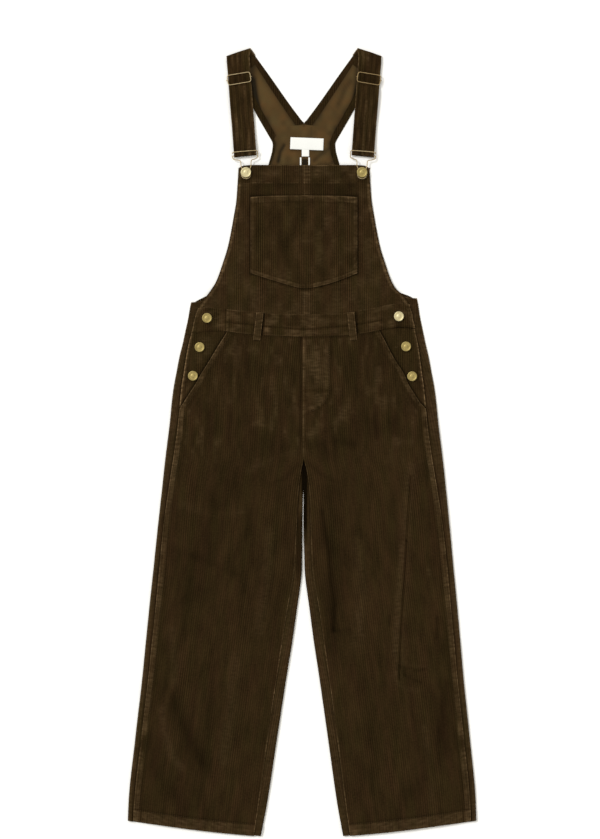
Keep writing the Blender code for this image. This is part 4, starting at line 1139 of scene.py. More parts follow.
front_rows = rows_down(-TUCK, FRONT_LENGTH + HEM_TURN, FRONT_LEG_STEP,
                       (0.0, FRONT_LENGTH - HEM_STITCH, FRONT_LENGTH, FRONT_LENGTH + 1.5))
for tag, side in SIDES:
    piece = cloth("corduroy_leg_front_" + tag, wales(-FRONT_LEG_REACH, FRONT_LEG_REACH), front_rows,
                  leg_front(side), corduroy_brown)
    dress(piece, "corduroy", "leg_front_" + tag)

# ------------------------------------------------------------------------------------------
# Hip facings: the corduroy behind each slanted pocket mouth. They carry two of the side
# buttons and end in the stitched edge of the side opening.

FACING_FOOT_Y = 61.0
FACING_DROP = 1.0
FACING_SPAN = (128.0, 218.0)
FACING_ROWS = 36
FACING_ROW = 7.0
Facing = namedtuple("Facing", "edge rubbed patchy")
FACING = {-1: Facing(2.0, 0.5, 0.09), 1: Facing(1.2, 0.3, 0.05)}


def hip_facing(side):
    """Form of a hip facing. v is the share of its height, from the waistband."""
    worn_as = FACING[side]

    def form(u, v):
        half = u
        for _ in range(FRONT_ROUNDS):
            top = across_body(WAIST_BOTTOM, half) - SEAM_GAP + TUCK
            y = top + (FACING_FOOT_Y - top) * v
            mouth = mouth_half(side, y)
            half = np.clip(u, np.minimum(mouth - TUCK, body("edge", y)), body("edge", y))
        offset = side * half
        inset = body("edge", y) - half
        rise, worn = sewn_edge(inset, y, (EDGE_ROW, FACING_ROW), 0.4, 41, worn_as.edge, 0.1)
        level = front_level(offset, y) - FACING_DROP - groove(u) + rise + unevenness(offset, y, 43)
        level = level - TUCK_DROP * ease((y - top + TUCK) / TUCK)
        level = level - 0.7 * ease((mouth + 3.0 - half) / 4.0)
        worn = worn + worn_as.rubbed * near(inset, 0.8, 1.8) - 0.06 * ease(inset / 6.0)
        patches = 1.0 + 1.3 * dapple(offset, y, 12.0, 45)
        worn = worn + worn_as.patchy * ease(inset / 9.0) * patches
        # Painted shadow on the facing along the pocket mouth, where the front's edge lies over it.
        worn = worn - 1.1 * near(np.maximum(half - mouth, 0.0), 0.0, 3.0)
        return place(side, half, y, level), (half, y), worn

    return form


for tag, side in SIDES:
    piece = cloth("corduroy_hip_facing_" + tag, wales(*FACING_SPAN),
                  np.linspace(0.0, 1.0, FACING_ROWS), hip_facing(side), corduroy_brown)
    dress(piece, "corduroy", "hip_facing_" + tag)

# ------------------------------------------------------------------------------------------
# Front waistband: a doubled band across the front, stitched along both edges. The edge of
# the cloth inside it shows as a ridge along its lower third.

BAND_CLOTH = 2.1
BAND_RISE = BAND_CLOTH - CLOTH
BAND_WALL = 1.3
WAIST_TOP = (Across(0, 223.0), Across(45, 223.4), Across(72, 225.4), Across(98, 229.6),
             Across(126, 233.0), Across(153, 237.2), Across(170, 238.4), Across(186, 236.8))
BAND_RIDGE_SHARE = 0.60
BAND_RIDGE_SAG = 0.08
BAND_RIDGE_SAG_HALF = 45.0
BAND_RIDGE_STEP = 0.06
BAND_REACH = 198.0
BAND_END_LIFT = 6.5
BAND_END_HALF = 133.0
BAND_END_SPREAD = 50.0
BAND_HEIGHT = 40.0
BAND_STEP = 2.6
BAND_ROW = 1.7
BAND_END_ROW = 7.5
BELT_LOOP_MIDDLE = (82.1, 201.9)
BELT_LOOP_LEAN = 0.105
# Painted shadow that each belt loop casts on the band, to its right.
BELT_LOOP_SHADE = 0.9
BELT_LOOP_SHADE_FROM = {-1: -10.4, 1: 11.6}
BAND_JOIN_HALF = 136.0


def waistband_front(u, v):
    """Form of the front waistband. v is the share of its height, from its top."""
    right = u > 0.0
    half = np.abs(u)
    for _ in range(FRONT_ROUNDS):
        top = across_body(WAIST_TOP, half) - SEAM_GAP / 2
        foot = across_body(WAIST_BOTTOM, half) + SEAM_GAP / 2
        foot = foot + right * BAND_END_LIFT * ease((half - BAND_END_HALF) / BAND_END_SPREAD)
        y = top + (foot - top) * v
        half = np.minimum(np.abs(u), body("edge", y))
    offset = np.sign(u) * half
    beyond = ease((half - BAND_JOIN_HALF) / 6.0)
    top_rise, top_wear_and_shade = sewn_edge(top - y, offset, (BAND_ROW,), 0.0, 51)
    foot_rise, foot_wear_and_shade = sewn_edge(y - foot, offset, (BAND_ROW,), 0.0, 53)
    end_rise, end_wear_and_shade = sewn_edge(body("edge", y) - half, y, (BAND_ROW, BAND_END_ROW), 0.2, 55,
                                   np.where(right, 1.3, 2.0), 0.12)
    ridge_at = BAND_RIDGE_SHARE + BAND_RIDGE_SAG * near(half, 0.0, BAND_RIDGE_SAG_HALF)
    below_ridge = ease((v - ridge_at) / BAND_RIDGE_STEP)
    ridge = 0.6 * below_ridge - 0.5 * near(v, ridge_at, 0.05)
    # The band dips along the ridge, and the dip is painted darker as shade; below it the band is a
    # little lighter.
    ridge_tone = 0.07 * below_ridge - 0.4 * near(v, ridge_at - 0.02, 0.035)
    join = np.where(right, -0.28, -0.7) * near(half, BAND_JOIN_HALF, 1.2)
    level = front_level(offset, y) + BAND_RISE - groove(u) + top_rise + foot_rise + end_rise
    level = level + ridge * (1.0 - beyond) + join + 0.25 * dapple(offset, y, 21.0, 57) - 0.3
    loop_half = BELT_LOOP_MIDDLE[0] + BELT_LOOP_LEAN * (BELT_LOOP_MIDDLE[1] - y)
    shade_half = loop_half + np.where(right, BELT_LOOP_SHADE_FROM[1], BELT_LOOP_SHADE_FROM[-1])
    worn = np.where(right, 0.4, 0.7) * top_wear_and_shade + (0.34 - 0.2 * beyond) * foot_wear_and_shade + end_wear_and_shade
    worn = worn + 0.06 + ridge_tone * (1.0 - beyond) + 0.4 * join
    worn = worn + 0.3 * near(half, BAND_END_HALF, 1.4) * (u < 0.0)
    # Painted shadow of each belt loop on the band, and painted shade along the band's foot past the
    # join.
    worn = worn - BELT_LOOP_SHADE * near(half, shade_half, 2.2)
    worn = worn - 0.35 * beyond * near(y - foot, 1.0, 1.6)
    worn = worn + 0.2 * dapple(offset, y, 13.0, 58) + 0.12 * dapple(offset * 0.4, y, 5.0, 59)
    return place(1, offset, y, level), (u, y), worn


waist_rows = rows_down(0.0, BAND_HEIGHT, BAND_STEP,
                       (0.0, BAND_HEIGHT * BAND_RIDGE_SHARE, BAND_HEIGHT))
waist_rows = waist_rows / BAND_HEIGHT
piece = cloth("corduroy_waistband_front", wales(-BAND_REACH, BAND_REACH), waist_rows,
              waistband_front, clear_corduroy, wall=BAND_WALL)
dress(piece, "corduroy", "waistband_front")

# ------------------------------------------------------------------------------------------
# Bib: two halves joined by a felled centre seam, which stands up as a narrow strip on the
# right. Its curved sides are turned and stitched, and rest on the floor beside the yoke.

Bib = namedtuple("Bib", "y edge edge_top middle_top")
BIB = (
    Bib(484, 114.3, 2.6, 6.8), Bib(451, 116.4, 2.6, 6.8), Bib(423, 118.4, 2.6, 6.8),
    Bib(395, 122.9, 2.6, 6.8), Bib(367, 127.9, 2.6, 6.8), Bib(339, 133.9, 2.7, 6.8),
    Bib(311, 142.7, 3.2, 6.8), Bib(283, 152.4, 4.4, 6.7), Bib(269, 160.2, 5.1, 6.6),
    Bib(255, 172.0, 5.6, 6.5), Bib(247, 177.9, 5.6, 6.5), Bib(237, 184.2, 5.6, 6.5),
)
BIB_REACH = 30.0
BIB_BAND_Y = 452.0
BIB_HALF = 188.0
BIB_HEIGHT = 229.0
BIB_STEP = 4.4
BIB_TUCK = 0.022
BIB_WALL = 1.1
BIB_ROW = 7.6
FELL_WIDTH = 10.0
FELL_ROWS = (2.0, 8.2)
FELL_PUCKER = 6.3
POCKET_HALF = 93.3
POCKET_BLUNT = 0.08
POCKET_BLUNT_GAIN = 1.08
POCKET_BOW_RIGHT = 3.4
POCKET_BOW_LEFT = 0.8
POCKET_CORNER_Y = 295.0
POCKET_POINT_Y = 268.5
POCKET_MOUTH_Y = 430.0
BIB_CREASES = (
    Crease(((-104, 440), (-40, 443), (-6, 438)), -0.7, 6.0),
    Crease(((8, 440), (52, 436), (102, 441)), -0.7, 6.0),
    Crease(((-128, 330), (-112, 300), (-118, 262)), 0.5, 9.0),
    Crease(((116, 340), (122, 300), (140, 268)), -0.5, 9.0),
    Crease(((-60, 262), (-30, 246), (0, 243)), 0.4, 7.0),
    Crease(((22, 252), (66, 258), (108, 248)), 0.4, 7.0),
)


def pocket_foot(offset):
    """Height of the bib pocket's foot: two bowed sides and a blunt point."""
    share = np.abs(offset) / POCKET_HALF
    blunt = np.sqrt(share**2 + POCKET_BLUNT**2) - POCKET_BLUNT
    bow = np.where(offset > 0.0, POCKET_BOW_RIGHT, POCKET_BOW_LEFT)
    bow = bow * np.sin(math.pi * np.clip(share, 0.0, 1.0))
    return POCKET_POINT_Y + (POCKET_CORNER_Y - POCKET_POINT_Y) * blunt * POCKET_BLUNT_GAIN - bow


def bib(column, y):
    return read(BIB, column, "y", y)


def bib_level(half, y):
    """Top of the bib: low at its sides, and on the yoke in its middle."""
    drop = bib("middle_top", y) - bib("edge_top", y)
    return bib("middle_top", y) - drop * fading(bib("edge", y) - np.abs(half), BIB_REACH)


def felled_seam(offset, along):
    """The centre seam: a strip of doubled cloth between two rows of stitches."""
    strip = ease((offset + 0.4) / 1.2) * ease((FELL_WIDTH + 0.6 - offset) / 1.2)
    across = puckers(along, offset, FELL_PUCKER, 61)
    furrows = 0.35 * sum(near(offset, row, 0.8) for row in FELL_ROWS)
    rubbed = 0.4 * near(offset, 0.4, 0.9) + 0.3 * near(offset, FELL_WIDTH, 1.0)
    # Rubbed edges, a lighter puckered strip, and painted shade in the two stitch furrows.
    worn = rubbed * (0.8 + 0.3 * across) + strip * (0.15 + 0.26 * across) - 0.35 * furrows
    return 0.6 * strip * (1.0 + 0.45 * across) - furrows, worn


def bib_front(side):
    """Form of half of the bib. v is the share of its height, from the top band."""
    def form(u, v):
        half = u
        for _ in range(FRONT_ROUNDS):
            foot = across_body(WAIST_TOP, half) + SEAM_GAP / 2
            y = BIB_BAND_Y + (foot - BIB_BAND_Y) * v
            edge = bib("edge", y)
            half = np.clip(u, 0.0, edge)
        offset = side * half
        lean = (bib("edge", y - 4) - bib("edge", y + 4)) / 8
        inset = (edge - half) / np.sqrt(1.0 + lean**2)
        rise, worn = sewn_edge(inset, y, (EDGE_ROW, BIB_ROW), 0.3, 63, 0.2, 0.3)
        dashes = near(inset, 3.6, 1.7) * (1.0 + 0.8 * puckers(y, inset, PUCKER, 66))
        worn = worn + 0.38 * dashes - 0.25 * near(inset, 0.0, 1.2)
        seam_rise, seam_wear_and_shade = felled_seam(offset, y)
        level = bib_level(half, y) - groove(half) + rise + seam_rise + unevenness(offset, y, 65)
        level = level + crease_rise(BIB_CREASES, offset, y)
        level = level - TUCK_DROP * (ease(-v / BIB_TUCK) + ease((v - 1.0) / BIB_TUCK))
        level = np.maximum(level, BIB_WALL + FLOOR_CLEAR)
        # Painted shadow in a thin band just outside the pocket, and painted shade between the
        # pocket's mouth and the top band.
        beside = np.maximum(half - POCKET_HALF, pocket_foot(offset) - y)
        beside = np.maximum(beside, np.maximum(y - POCKET_MOUTH_Y, 0.0))
        under_band = ease((y - POCKET_MOUTH_Y + 2.0) / 5.0)
        under_band = under_band * ease((POCKET_HALF + 6.0 - half) / 14.0)
        shaded = 0.75 * near(beside, 0.9, 1.6)
        shaded = shaded + under_band * (0.34 + 0.3 * dapple(offset * 0.5, y, 11.0, 67))
        worn = 0.8 * worn + seam_wear_and_shade + 0.04 + 0.1 * dapple(offset, y, 14.0, 68)
        return place(side, half, y, level), (half, y), worn - shaded

    return form


bib_rows = rows_down(0.0, BIB_HEIGHT, BIB_STEP, (0.0, BIB_HEIGHT)) / BIB_HEIGHT
bib_rows = np.concatenate(([-BIB_TUCK], bib_rows, [1.0 + BIB_TUCK]))
for tag, side in SIDES:
    piece = cloth("corduroy_bib_front_" + tag, wales(0.0, BIB_HALF), bib_rows, bib_front(side),
                  clear_corduroy, wall=BIB_WALL)
    dress(piece, "corduroy", "bib_front_" + tag)

# ------------------------------------------------------------------------------------------
# Bib top band: a doubled band along the bib's top edge, with a row of stitches at its foot.
# The two shank buttons sit at its ends.

BIB_TOP = (Across(0, 484.0), Across(90, 484.4), Across(106, 483.2), Across(114, 479.4))
TOP_BAND_HALF = 117.0
TOP_BAND_HEIGHT = 32.0
TOP_BAND_STEP = 3.0
TOP_BAND_ROW = 2.0
TOP_BAND_WALL = 1.5


def bib_top_band(u, v):
    """Form of the bib's top band. v is the share of its height, from its top."""
    half = np.abs(u)
    for _ in range(FRONT_ROUNDS):
        top = across_body(BIB_TOP, half)
        y = top + (BIB_BAND_Y + SEAM_GAP / 2 - top) * v
        edge = bib("edge", y)
        half = np.minimum(np.abs(u), edge)
    offset = np.sign(u) * half
    top_rise, top_wear_and_shade = sewn_edge(top - y, offset, (TOP_BAND_ROW,), 0.1, 71)
    foot_rise, foot_wear_and_shade = sewn_edge(y - BIB_BAND_Y, offset, (EDGE_ROW,), 0.0, 73)
    end_rise, end_wear_and_shade = sewn_edge(edge - half, y, (EDGE_ROW, BIB_ROW), 0.2, 75)
    seam_rise, seam_wear_and_shade = felled_seam(offset, y)
    level = bib_level(half, y) + BAND_RISE - groove(u) + top_rise + foot_rise + end_rise
    level = level + seam_rise + 0.25 * dapple(offset, y, 17.0, 77) - 0.2
    level = np.maximum(level, TOP_BAND_WALL + FLOOR_CLEAR)
    worn = 0.7 * top_wear_and_shade + 0.6 * foot_wear_and_shade + end_wear_and_shade + seam_wear_and_shade + 0.1 * ease((y - 462.0) / 8.0)
    return place(1, offset, y, level), (u, y), worn + 0.16 * dapple(offset, y, 12.0, 78)


band_rows = rows_down(0.0, TOP_BAND_HEIGHT, TOP_BAND_STEP, (0.0, TOP_BAND_HEIGHT))
band_rows = band_rows / TOP_BAND_HEIGHT
piece = cloth("corduroy_bib_top_band", wales(-TOP_BAND_HALF, TOP_BAND_HALF), band_rows,
              bib_top_band, clear_corduroy, wall=TOP_BAND_WALL)
dress(piece, "corduroy", "bib_top_band")

# ------------------------------------------------------------------------------------------
# Bib pocket: a patch of corduroy with a pointed foot, turned in all round and stitched down
# at its sides and foot. Its hemmed mouth stands a little away from the bib.

POCKET_TOP = (Across(0, 430.9), Across(60, 430.0), Across(94, 428.0))
POCKET_FOOT_TILT = 0.96
POCKET_MOUTH_RISE = 0.9
POCKET_STAND = 0.35
POCKET_HEM = 11.5
POCKET_HEIGHT = 150.0
POCKET_STEP = 4.2
POCKET_WALL = 1.2
POCKET_ROWS = (BAND_ROW, 7.4)
POCKET_CREASES = (
    Crease(((-60, 424), (-20, 419), (30, 421)), -0.4, 5.0),
    Crease(((-46, 392), (-38, 352), (-44, 316)), -0.45, 9.0),
    Crease(((36, 398), (48, 356), (40, 306)), 0.45, 10.0),
    Crease(((68, 380), (60, 340)), -0.4, 8.0),
)


def bib_pocket(offset, v):
    """Form of the bib pocket. v is the share of its height, from its mouth."""
    foot = pocket_foot(offset)
    top = across_body(POCKET_TOP, offset)
    y = top + (foot - top) * v
    mouth = (1.0 - ease(3.0 * v)) * np.cos(math.pi * offset / (2.0 * POCKET_HALF))
    above_foot = (y - foot) * POCKET_FOOT_TILT
    side_rise, side_wear_and_shade = sewn_edge(POCKET_HALF - np.abs(offset), y, POCKET_ROWS, 0.3, 81)
    foot_rise, foot_wear_and_shade = sewn_edge(above_foot, offset, POCKET_ROWS, 0.35, 83, 0.28, 0.26)
    top_rise, top_wear_and_shade = sewn_edge(top - y, offset, (POCKET_HEM,), 0.25, 85)
    folds = crease_rise(POCKET_CREASES, offset, y)
    level = bib_level(offset, y) + LAYER_GAP + CLOTH + POCKET_STAND + POCKET_MOUTH_RISE * mouth
    level = level - groove(offset) + unevenness(offset, y, 87)
    level = level + side_rise + foot_rise + top_rise + folds
    # Crease hollows on the pocket are painted darker as shade.
    worn = 0.8 * side_wear_and_shade + foot_wear_and_shade + top_wear_and_shade + hollow_tone(folds)
    return place(1, offset, y, level), (offset, y), worn + 0.12 * dapple(offset, y, 13.0, 89)


def trimmed_wales(half_width):
    """Columns of points across the wales of a narrow piece, with one on each edge."""
    between = [u for u in wales(-half_width, half_width) if abs(u) < half_width - 0.3]
    return [-half_width, *between, half_width]


pocket_rows = rows_down(0.0, POCKET_HEIGHT, POCKET_STEP,
                        (0.0, POCKET_HEM, POCKET_HEIGHT - 8.0, POCKET_HEIGHT))
piece = cloth("corduroy_bib_pocket", trimmed_wales(POCKET_HALF), pocket_rows / POCKET_HEIGHT,
              bib_pocket, clear_corduroy, wall=POCKET_WALL)
dress(piece, "corduroy", "bib_pocket")

# ------------------------------------------------------------------------------------------
# Belt loops: narrow folded strips over the waistband, sewn down at both ends. Each bows a
# little in the middle.

BELT_LOOP_HALF_WIDTH = 6.25
BELT_LOOP_TOP = (79.4, 226.3)
BELT_LOOP_FOOT = (84.8, 177.5)
BELT_LOOP_SHIFT = 2.8
BELT_LOOP_BOW = 1.6
BELT_LOOP_WALL = 1.3
BELT_LOOP_COLUMNS = 19
BELT_LOOP_ROWS = 27
BELT_LOOP_BASE = BAND_RISE + LAYER_GAP + CLOTH


def belt_loop(side):
    """Form of a belt loop. v is the share of its length, from its top."""
    def form(u, v):
        (top_half, top_y), (foot_half, foot_y) = BELT_LOOP_TOP, BELT_LOOP_FOOT
        half = top_half + (foot_half - top_half) * v + u + side * BELT_LOOP_SHIFT
        y = top_y + (foot_y - top_y) * v
        from_end = np.minimum(v, 1 - v)
        rise, worn = sewn_edge(BELT_LOOP_HALF_WIDTH - np.abs(u), y, (EDGE_ROW,), 0.0, 91)
        bow = BELT_LOOP_BOW * np.sin(math.pi * v) ** 0.6 - 0.5 * near(from_end, 0.0, 0.05)
        level = front_level(side * half, y) + BELT_LOOP_BASE + bow + rise - 0.7 * groove(u)
        worn = 0.9 * worn + 0.4 * near(from_end, 0.0, 0.03) + 0.16
        return place(side, half, y, level), (u, y), worn

    return form


for tag, side in SIDES:
    columns = np.linspace(-BELT_LOOP_HALF_WIDTH, BELT_LOOP_HALF_WIDTH, BELT_LOOP_COLUMNS)
    piece = cloth("corduroy_belt_loop_" + tag, columns, np.linspace(0.0, 1.0, BELT_LOOP_ROWS),
                  belt_loop(side), corduroy_brown, wall=BELT_LOOP_WALL)
    dress(piece, "corduroy", "belt_loop_" + tag)

# ------------------------------------------------------------------------------------------
# Straps: folded and edge-stitched lengths of corduroy with lengthwise wales. Each comes over
# the shoulder fold, runs through its slider, turns round the clip's bar and ends behind.

STRAP_CLOTH = 1.8
STRAP_WALL = 1.2
STRAP_CLEAR = 0.02
SHOULDER_OUTER = (136.0, 674.5)
STRAP_HALF_WIDTH = 19.8
STRAP_ROW = 1.7
STRAP_BANDS = 0.66
SLIDER_Y = 635.5
STRAP_END_MIDDLE = (102.9, 499.2)
BACK_STRAP_DIRECTION = (0.584, 0.81)
BACK_STRAP_LENGTH = 14.0
BACK_STRAP_SHARES = (1.0, 0.75, 0.5, 0.25)
Strap = namedtuple("Strap", "y level slope")
STRAP = (
    Strap(672.0, 4.9, 0.345), Strap(658.0, 4.7, 0.24), Strap(646.5, 4.3, 0.17),
    Strap(641.7, 4.4, 0.17), Strap(638.0, 6.2, 0.17), Strap(635.5, 6.5, 0.17),
    Strap(633.0, 6.2, 0.17), Strap(629.3, 4.4, 0.17), Strap(624.5, 4.4, 0.17),
    Strap(618.0, 6.2, 0.165), Strap(600.0, 6.1, 0.15), Strap(575.0, 5.2, 0.14),
    Strap(550.0, 4.5, 0.12), Strap(525.0, 5.2, 0.11), Strap(511.0, 6.6, 0.105),
    Strap(502.2, 6.7, 0.10),
)
STRAP_RETURN = (
    Strap(502.2, 2.1, 0.10), Strap(525.0, 2.0, 0.11), Strap(550.0, 2.1, 0.12),
    Strap(575.0, 3.0, 0.14), Strap(600.0, 4.0, 0.15), Strap(615.0, 4.0, 0.165),
)
TURN_STEPS = 10
STRAP_STEP = 2.5
# Stations are numbered from the back. Those up to the end of the shoulder fold are wider on
# the inner side, the fold is rubbed near its outer edge, and the slider pinches the strap.
FOLD_END = len(BACK_STRAP_SHARES) + TURN_STEPS
FOLD_MIDDLE = len(BACK_STRAP_SHARES) + TURN_STEPS // 2
FOLD_WIDER = 0.14
FOLD_WIDER_BELOW = 0.05
FOLD_RUBBED_OUT = 0.5
SLIDER_PINCH = 0.11
SLIDER_PINCH_REACH = 7.5
# Painted shade on the strap at the slider.
SLIDER_SHADE = 0.3
SLIDER_SHADE_REACH = 6.5
STRAP_NARROWS = 0.022
STRAP_NARROWS_FROM_Y = 600.0
STRAP_NARROWS_FADE = 60.0
Station = namedtuple("Station", "half y slope level")


def strap_middle(y):
    """Half distance of a front strap's middle line."""
    top_half = (SHOULDER_OUTER[0] + SHOULDER_INNER[0]) / 2
    top_y = (SHOULDER_OUTER[1] + SHOULDER_INNER[1]) / 2
    return top_half + (STRAP_END_MIDDLE[0] - top_half) * (top_y - y) / (top_y - STRAP_END_MIDDLE[1])


def strap_stretch(table, start, end):
    """Stations of a straight stretch of a strap."""
    found = []
    for y in np.linspace(start, end, round(abs(end - start) / STRAP_STEP) + 1):
        level, slope = read(table, "level", "y", y), read(table, "slope", "y", y)
        found.append(Station(strap_middle(y), y, float(slope), float(level)))
    return found


def strap_stations():
    """The strap's way, from the back yoke to the end of its return."""
    shoulder = (Vector(SHOULDER_OUTER) + Vector(SHOULDER_INNER)) / 2
    fold_line = (Vector(SHOULDER_INNER) - Vector(SHOULDER_OUTER)).normalized()
    outwards = Vector((fold_line.y, -fold_line.x))
    back = Vector(BACK_STRAP_DIRECTION)
    back = back / back.dot(outwards)
    fold_slope = -fold_line.y / fold_line.x
    low, high = STRAP_CLOTH / 2, STRAP[0].level
    radius = (high - low) / 2
    stations = []
    for share in BACK_STRAP_SHARES:
        middle = shoulder - back * BACK_STRAP_LENGTH * share
        stations.append(Station(middle.x, middle.y, fold_slope, low))
    for step in range(TURN_STEPS + 1):
        angle = math.pi * (step / TURN_STEPS - 0.5)
        middle = shoulder - outwards * radius * (1.0 - math.cos(angle))
        level = low + radius * (1.0 + math.sin(angle))
        stations.append(Station(middle.x, middle.y, fold_slope, level))
    stations += strap_stretch(STRAP, STRAP[0].y, STRAP[-1].y)
    end_radius = (STRAP[-1].level - STRAP_RETURN[0].level) / 2
    for step in range(1, TURN_STEPS):
        angle = math.pi * (0.5 - step / TURN_STEPS)
        y = STRAP[-1].y - end_radius * math.cos(angle)
        level = STRAP_RETURN[0].level + end_radius * (1.0 + math.sin(angle))
        stations.append(Station(strap_middle(y), y, STRAP[-1].slope, level))
    return stations + strap_stretch(STRAP_RETURN, STRAP_RETURN[0].y, STRAP_RETURN[-1].y)


def run_along(line):
    """How far along a line each of its points lies."""
    return np.concatenate(([0.0], np.cumsum(np.linalg.norm(np.diff(line, axis=0), axis=1))))


stations = strap_stations()
strap_way = np.array(stations)
strap_run = run_along(strap_way[:, (0, 1, 3)])


def strap_front(side):
    """Form of a strap. u runs outwards across it, and v is the number of a station."""
    def form(u, v):
        number = np.rint(v).astype(int)
        way_half, way_y, slope, way_level = strap_way[number].T
        run = strap_run[number]
        pinch = 1.0 - SLIDER_PINCH * (u < 0.0) * near(way_y, SLIDER_Y, SLIDER_PINCH_REACH)
        pinch = pinch + FOLD_WIDER * (u < 0.0) * (number <= FOLD_END)
        pinch = pinch + FOLD_WIDER_BELOW * (u < 0.0) * (number == FOLD_END + 1)
        narrows = ease((STRAP_NARROWS_FROM_Y - way_y) / STRAP_NARROWS_FADE)
        pinch = pinch - STRAP_NARROWS * (u > 0.0) * narrows
        half, y = way_half + u * pinch, way_y - slope * u
        rise, worn = sewn_edge(STRAP_HALF_WIDTH - np.abs(u), run, (STRAP_ROW,), 0.0, 95, 0.9)
        wave = np.cos(u * STRAP_BANDS + side + 0.5 * dapple(u * 0.0, run, 60.0, 96))
        bands = 0.3 * wave + 0.45 * dapple(u * 2.0, run, 19.0, 97 + side)
        worn = worn + 0.17 * wave - 0.14 + 0.34 * dapple(u * 2.2, run * 0.4, 11.0, 99 + side)
        worn = worn + FOLD_RUBBED_OUT * near(number, FOLD_MIDDLE, 1.6)
        worn = worn - SLIDER_SHADE * near(way_y, SLIDER_Y, SLIDER_SHADE_REACH)
        downwards = np.sign(np.gradient(strap_way[:, 1]))[number] < 0
        outside = np.where(downwards & (number >= FOLD_MIDDLE), 1.0, -1.0)
        level = way_level + outside * (rise - groove(u) + bands * 0.5)
        level = np.maximum(level, STRAP_WALL / 2 + STRAP_CLEAR)
        return place(side, half, y, level), (u, run), worn

    return form


strap_finishes = {"l": corduroy("corduroy_strap_left", 1.28, 0.4, 1.5),
                  "r": corduroy("corduroy_strap_right", 1.1, 0.4, 1.5)}
for tag, side in SIDES:
    piece = cloth("corduroy_strap_" + tag, trimmed_wales(STRAP_HALF_WIDTH), range(len(stations)),
                  strap_front(side), strap_finishes[tag], wall=STRAP_WALL, wall_offset=0.0)
    dress(piece, "corduroy", "strap_front_" + tag)

# ------------------------------------------------------------------------------------------
# Label, size tab and hanger loop: white woven tapes sewn to the lining under the neck. They
# are bare.

TRIM_TOP = LINING_TOP + LAYER_GAP + LINING_CLOTH
Patch = namedtuple("Patch", "x y width height turn")
LABEL = Patch(8.6, 521.4, 58.0, 20.9, -0.040)
SIZE_TAB = Patch(6.1, 505.4, 13.0, 12.4, 0.0)
HANGER_MIDDLE_X = CENTRE_X + 1.6
HANGER_TAPE = 2.6
HANGER_HALF = 7.4
HANGER_TOP_Y = 497.6
HANGER_FOOT_Y = 478.0
TAPE_WHITE = (0.84, 0.85, 0.83, 1.0)
TAPE_SHADE = (0.60, 0.61, 0.58, 1.0)
RIB_SCALE = 420.0
PATCH_STANDS = 0.1
PATCH_WALL = 0.5
PATCH_COLUMN_STEP = 2.0
PATCH_ROW_STEP = 1.5
HANGER_WALL = 0.7
HANGER_COLUMNS = 5
HANGER_ROWS = 30
HANGER_STRAIGHT = HANGER_TOP_Y - HANGER_FOOT_Y - HANGER_HALF
HANGER_LENGTH = 2.0 * HANGER_STRAIGHT + math.pi * HANGER_HALF

tape_finish = Finish("tape", roughness=0.6)
tape_ribs = tape_finish.node("ShaderNodeTexWave",
                             {"Vector": tape_finish.in_place(), "Scale": RIB_SCALE},
                             output="Fac", bands_direction="Y")
tape_finish.give("Base Color", tape_finish.mix(0.8 + 0.2 * tape_ribs, TAPE_SHADE, TAPE_WHITE))
tape_finish.bump(tape_ribs, 0.2, 0.0002)


def woven_patch(name, size, crown):
    """Woven patch with folded ends, a little domed between its corners."""
    def form(u, v):
        x = size.x + u - size.turn * v
        y = size.y + v + size.turn * u
        ends = np.minimum(size.width / 2 - np.abs(u), size.height / 2 - np.abs(v))
        level = TRIM_TOP + PATCH_STANDS + crown * (1 - fading(ends, 3.0)) - 0.3 * fading(ends, 0.5)
        level = level + 0.5 * crown * np.cos(u * 0.21) * (0.5 - v / size.height)
        return np.stack((x, y, level), axis=-1) * MM, (u, v), 0.0

    side_edges = (-size.width / 2, size.width / 2)
    fold_edges = (-size.height / 2, size.height / 2)
    columns = rows_down(*side_edges, PATCH_COLUMN_STEP, side_edges)
    rows = rows_down(*fold_edges, PATCH_ROW_STEP, fold_edges)
    return cloth(name, columns, rows, form, tape_finish, wall=PATCH_WALL)


label = dress(woven_patch("woven_label", LABEL, 0.5), "tape", "label")
size_tab = dress(woven_patch("woven_size_tab", SIZE_TAB, 0.3), "tape", "size_tab")


def hanger_loop(u, v):
    """The loop's tape: down one side, round behind the bib and up the other side."""
    angle = np.clip((v - HANGER_STRAIGHT) / HANGER_HALF, 0.0, math.pi)
    up = np.maximum(v - HANGER_STRAIGHT - math.pi * HANGER_HALF, 0.0)
    reach = HANGER_HALF + u
    x = HANGER_MIDDLE_X - reach * np.cos(angle)
    bend_y = HANGER_FOOT_Y + HANGER_HALF
    y = np.where(v < HANGER_STRAIGHT, HANGER_TOP_Y - v, bend_y - reach * np.sin(angle)) + up
    return np.stack((x, y, np.full(x.shape, TRIM_TOP)), axis=-1) * MM, (u, v), 0.0


piece = cloth("woven_hanger_loop", np.linspace(-HANGER_TAPE / 2, HANGER_TAPE / 2, HANGER_COLUMNS),
              np.linspace(0.0, HANGER_LENGTH, HANGER_ROWS), hanger_loop, tape_finish,
              wall=HANGER_WALL)
dress(piece, "tape", "hanger_loop")

# ------------------------------------------------------------------------------------------
# Brass sliders and clips: bent wire. A slider is a round-cornered frame over the strap with a
# bar behind it. A clip is one wire from the bar in the strap's end round the bib button.

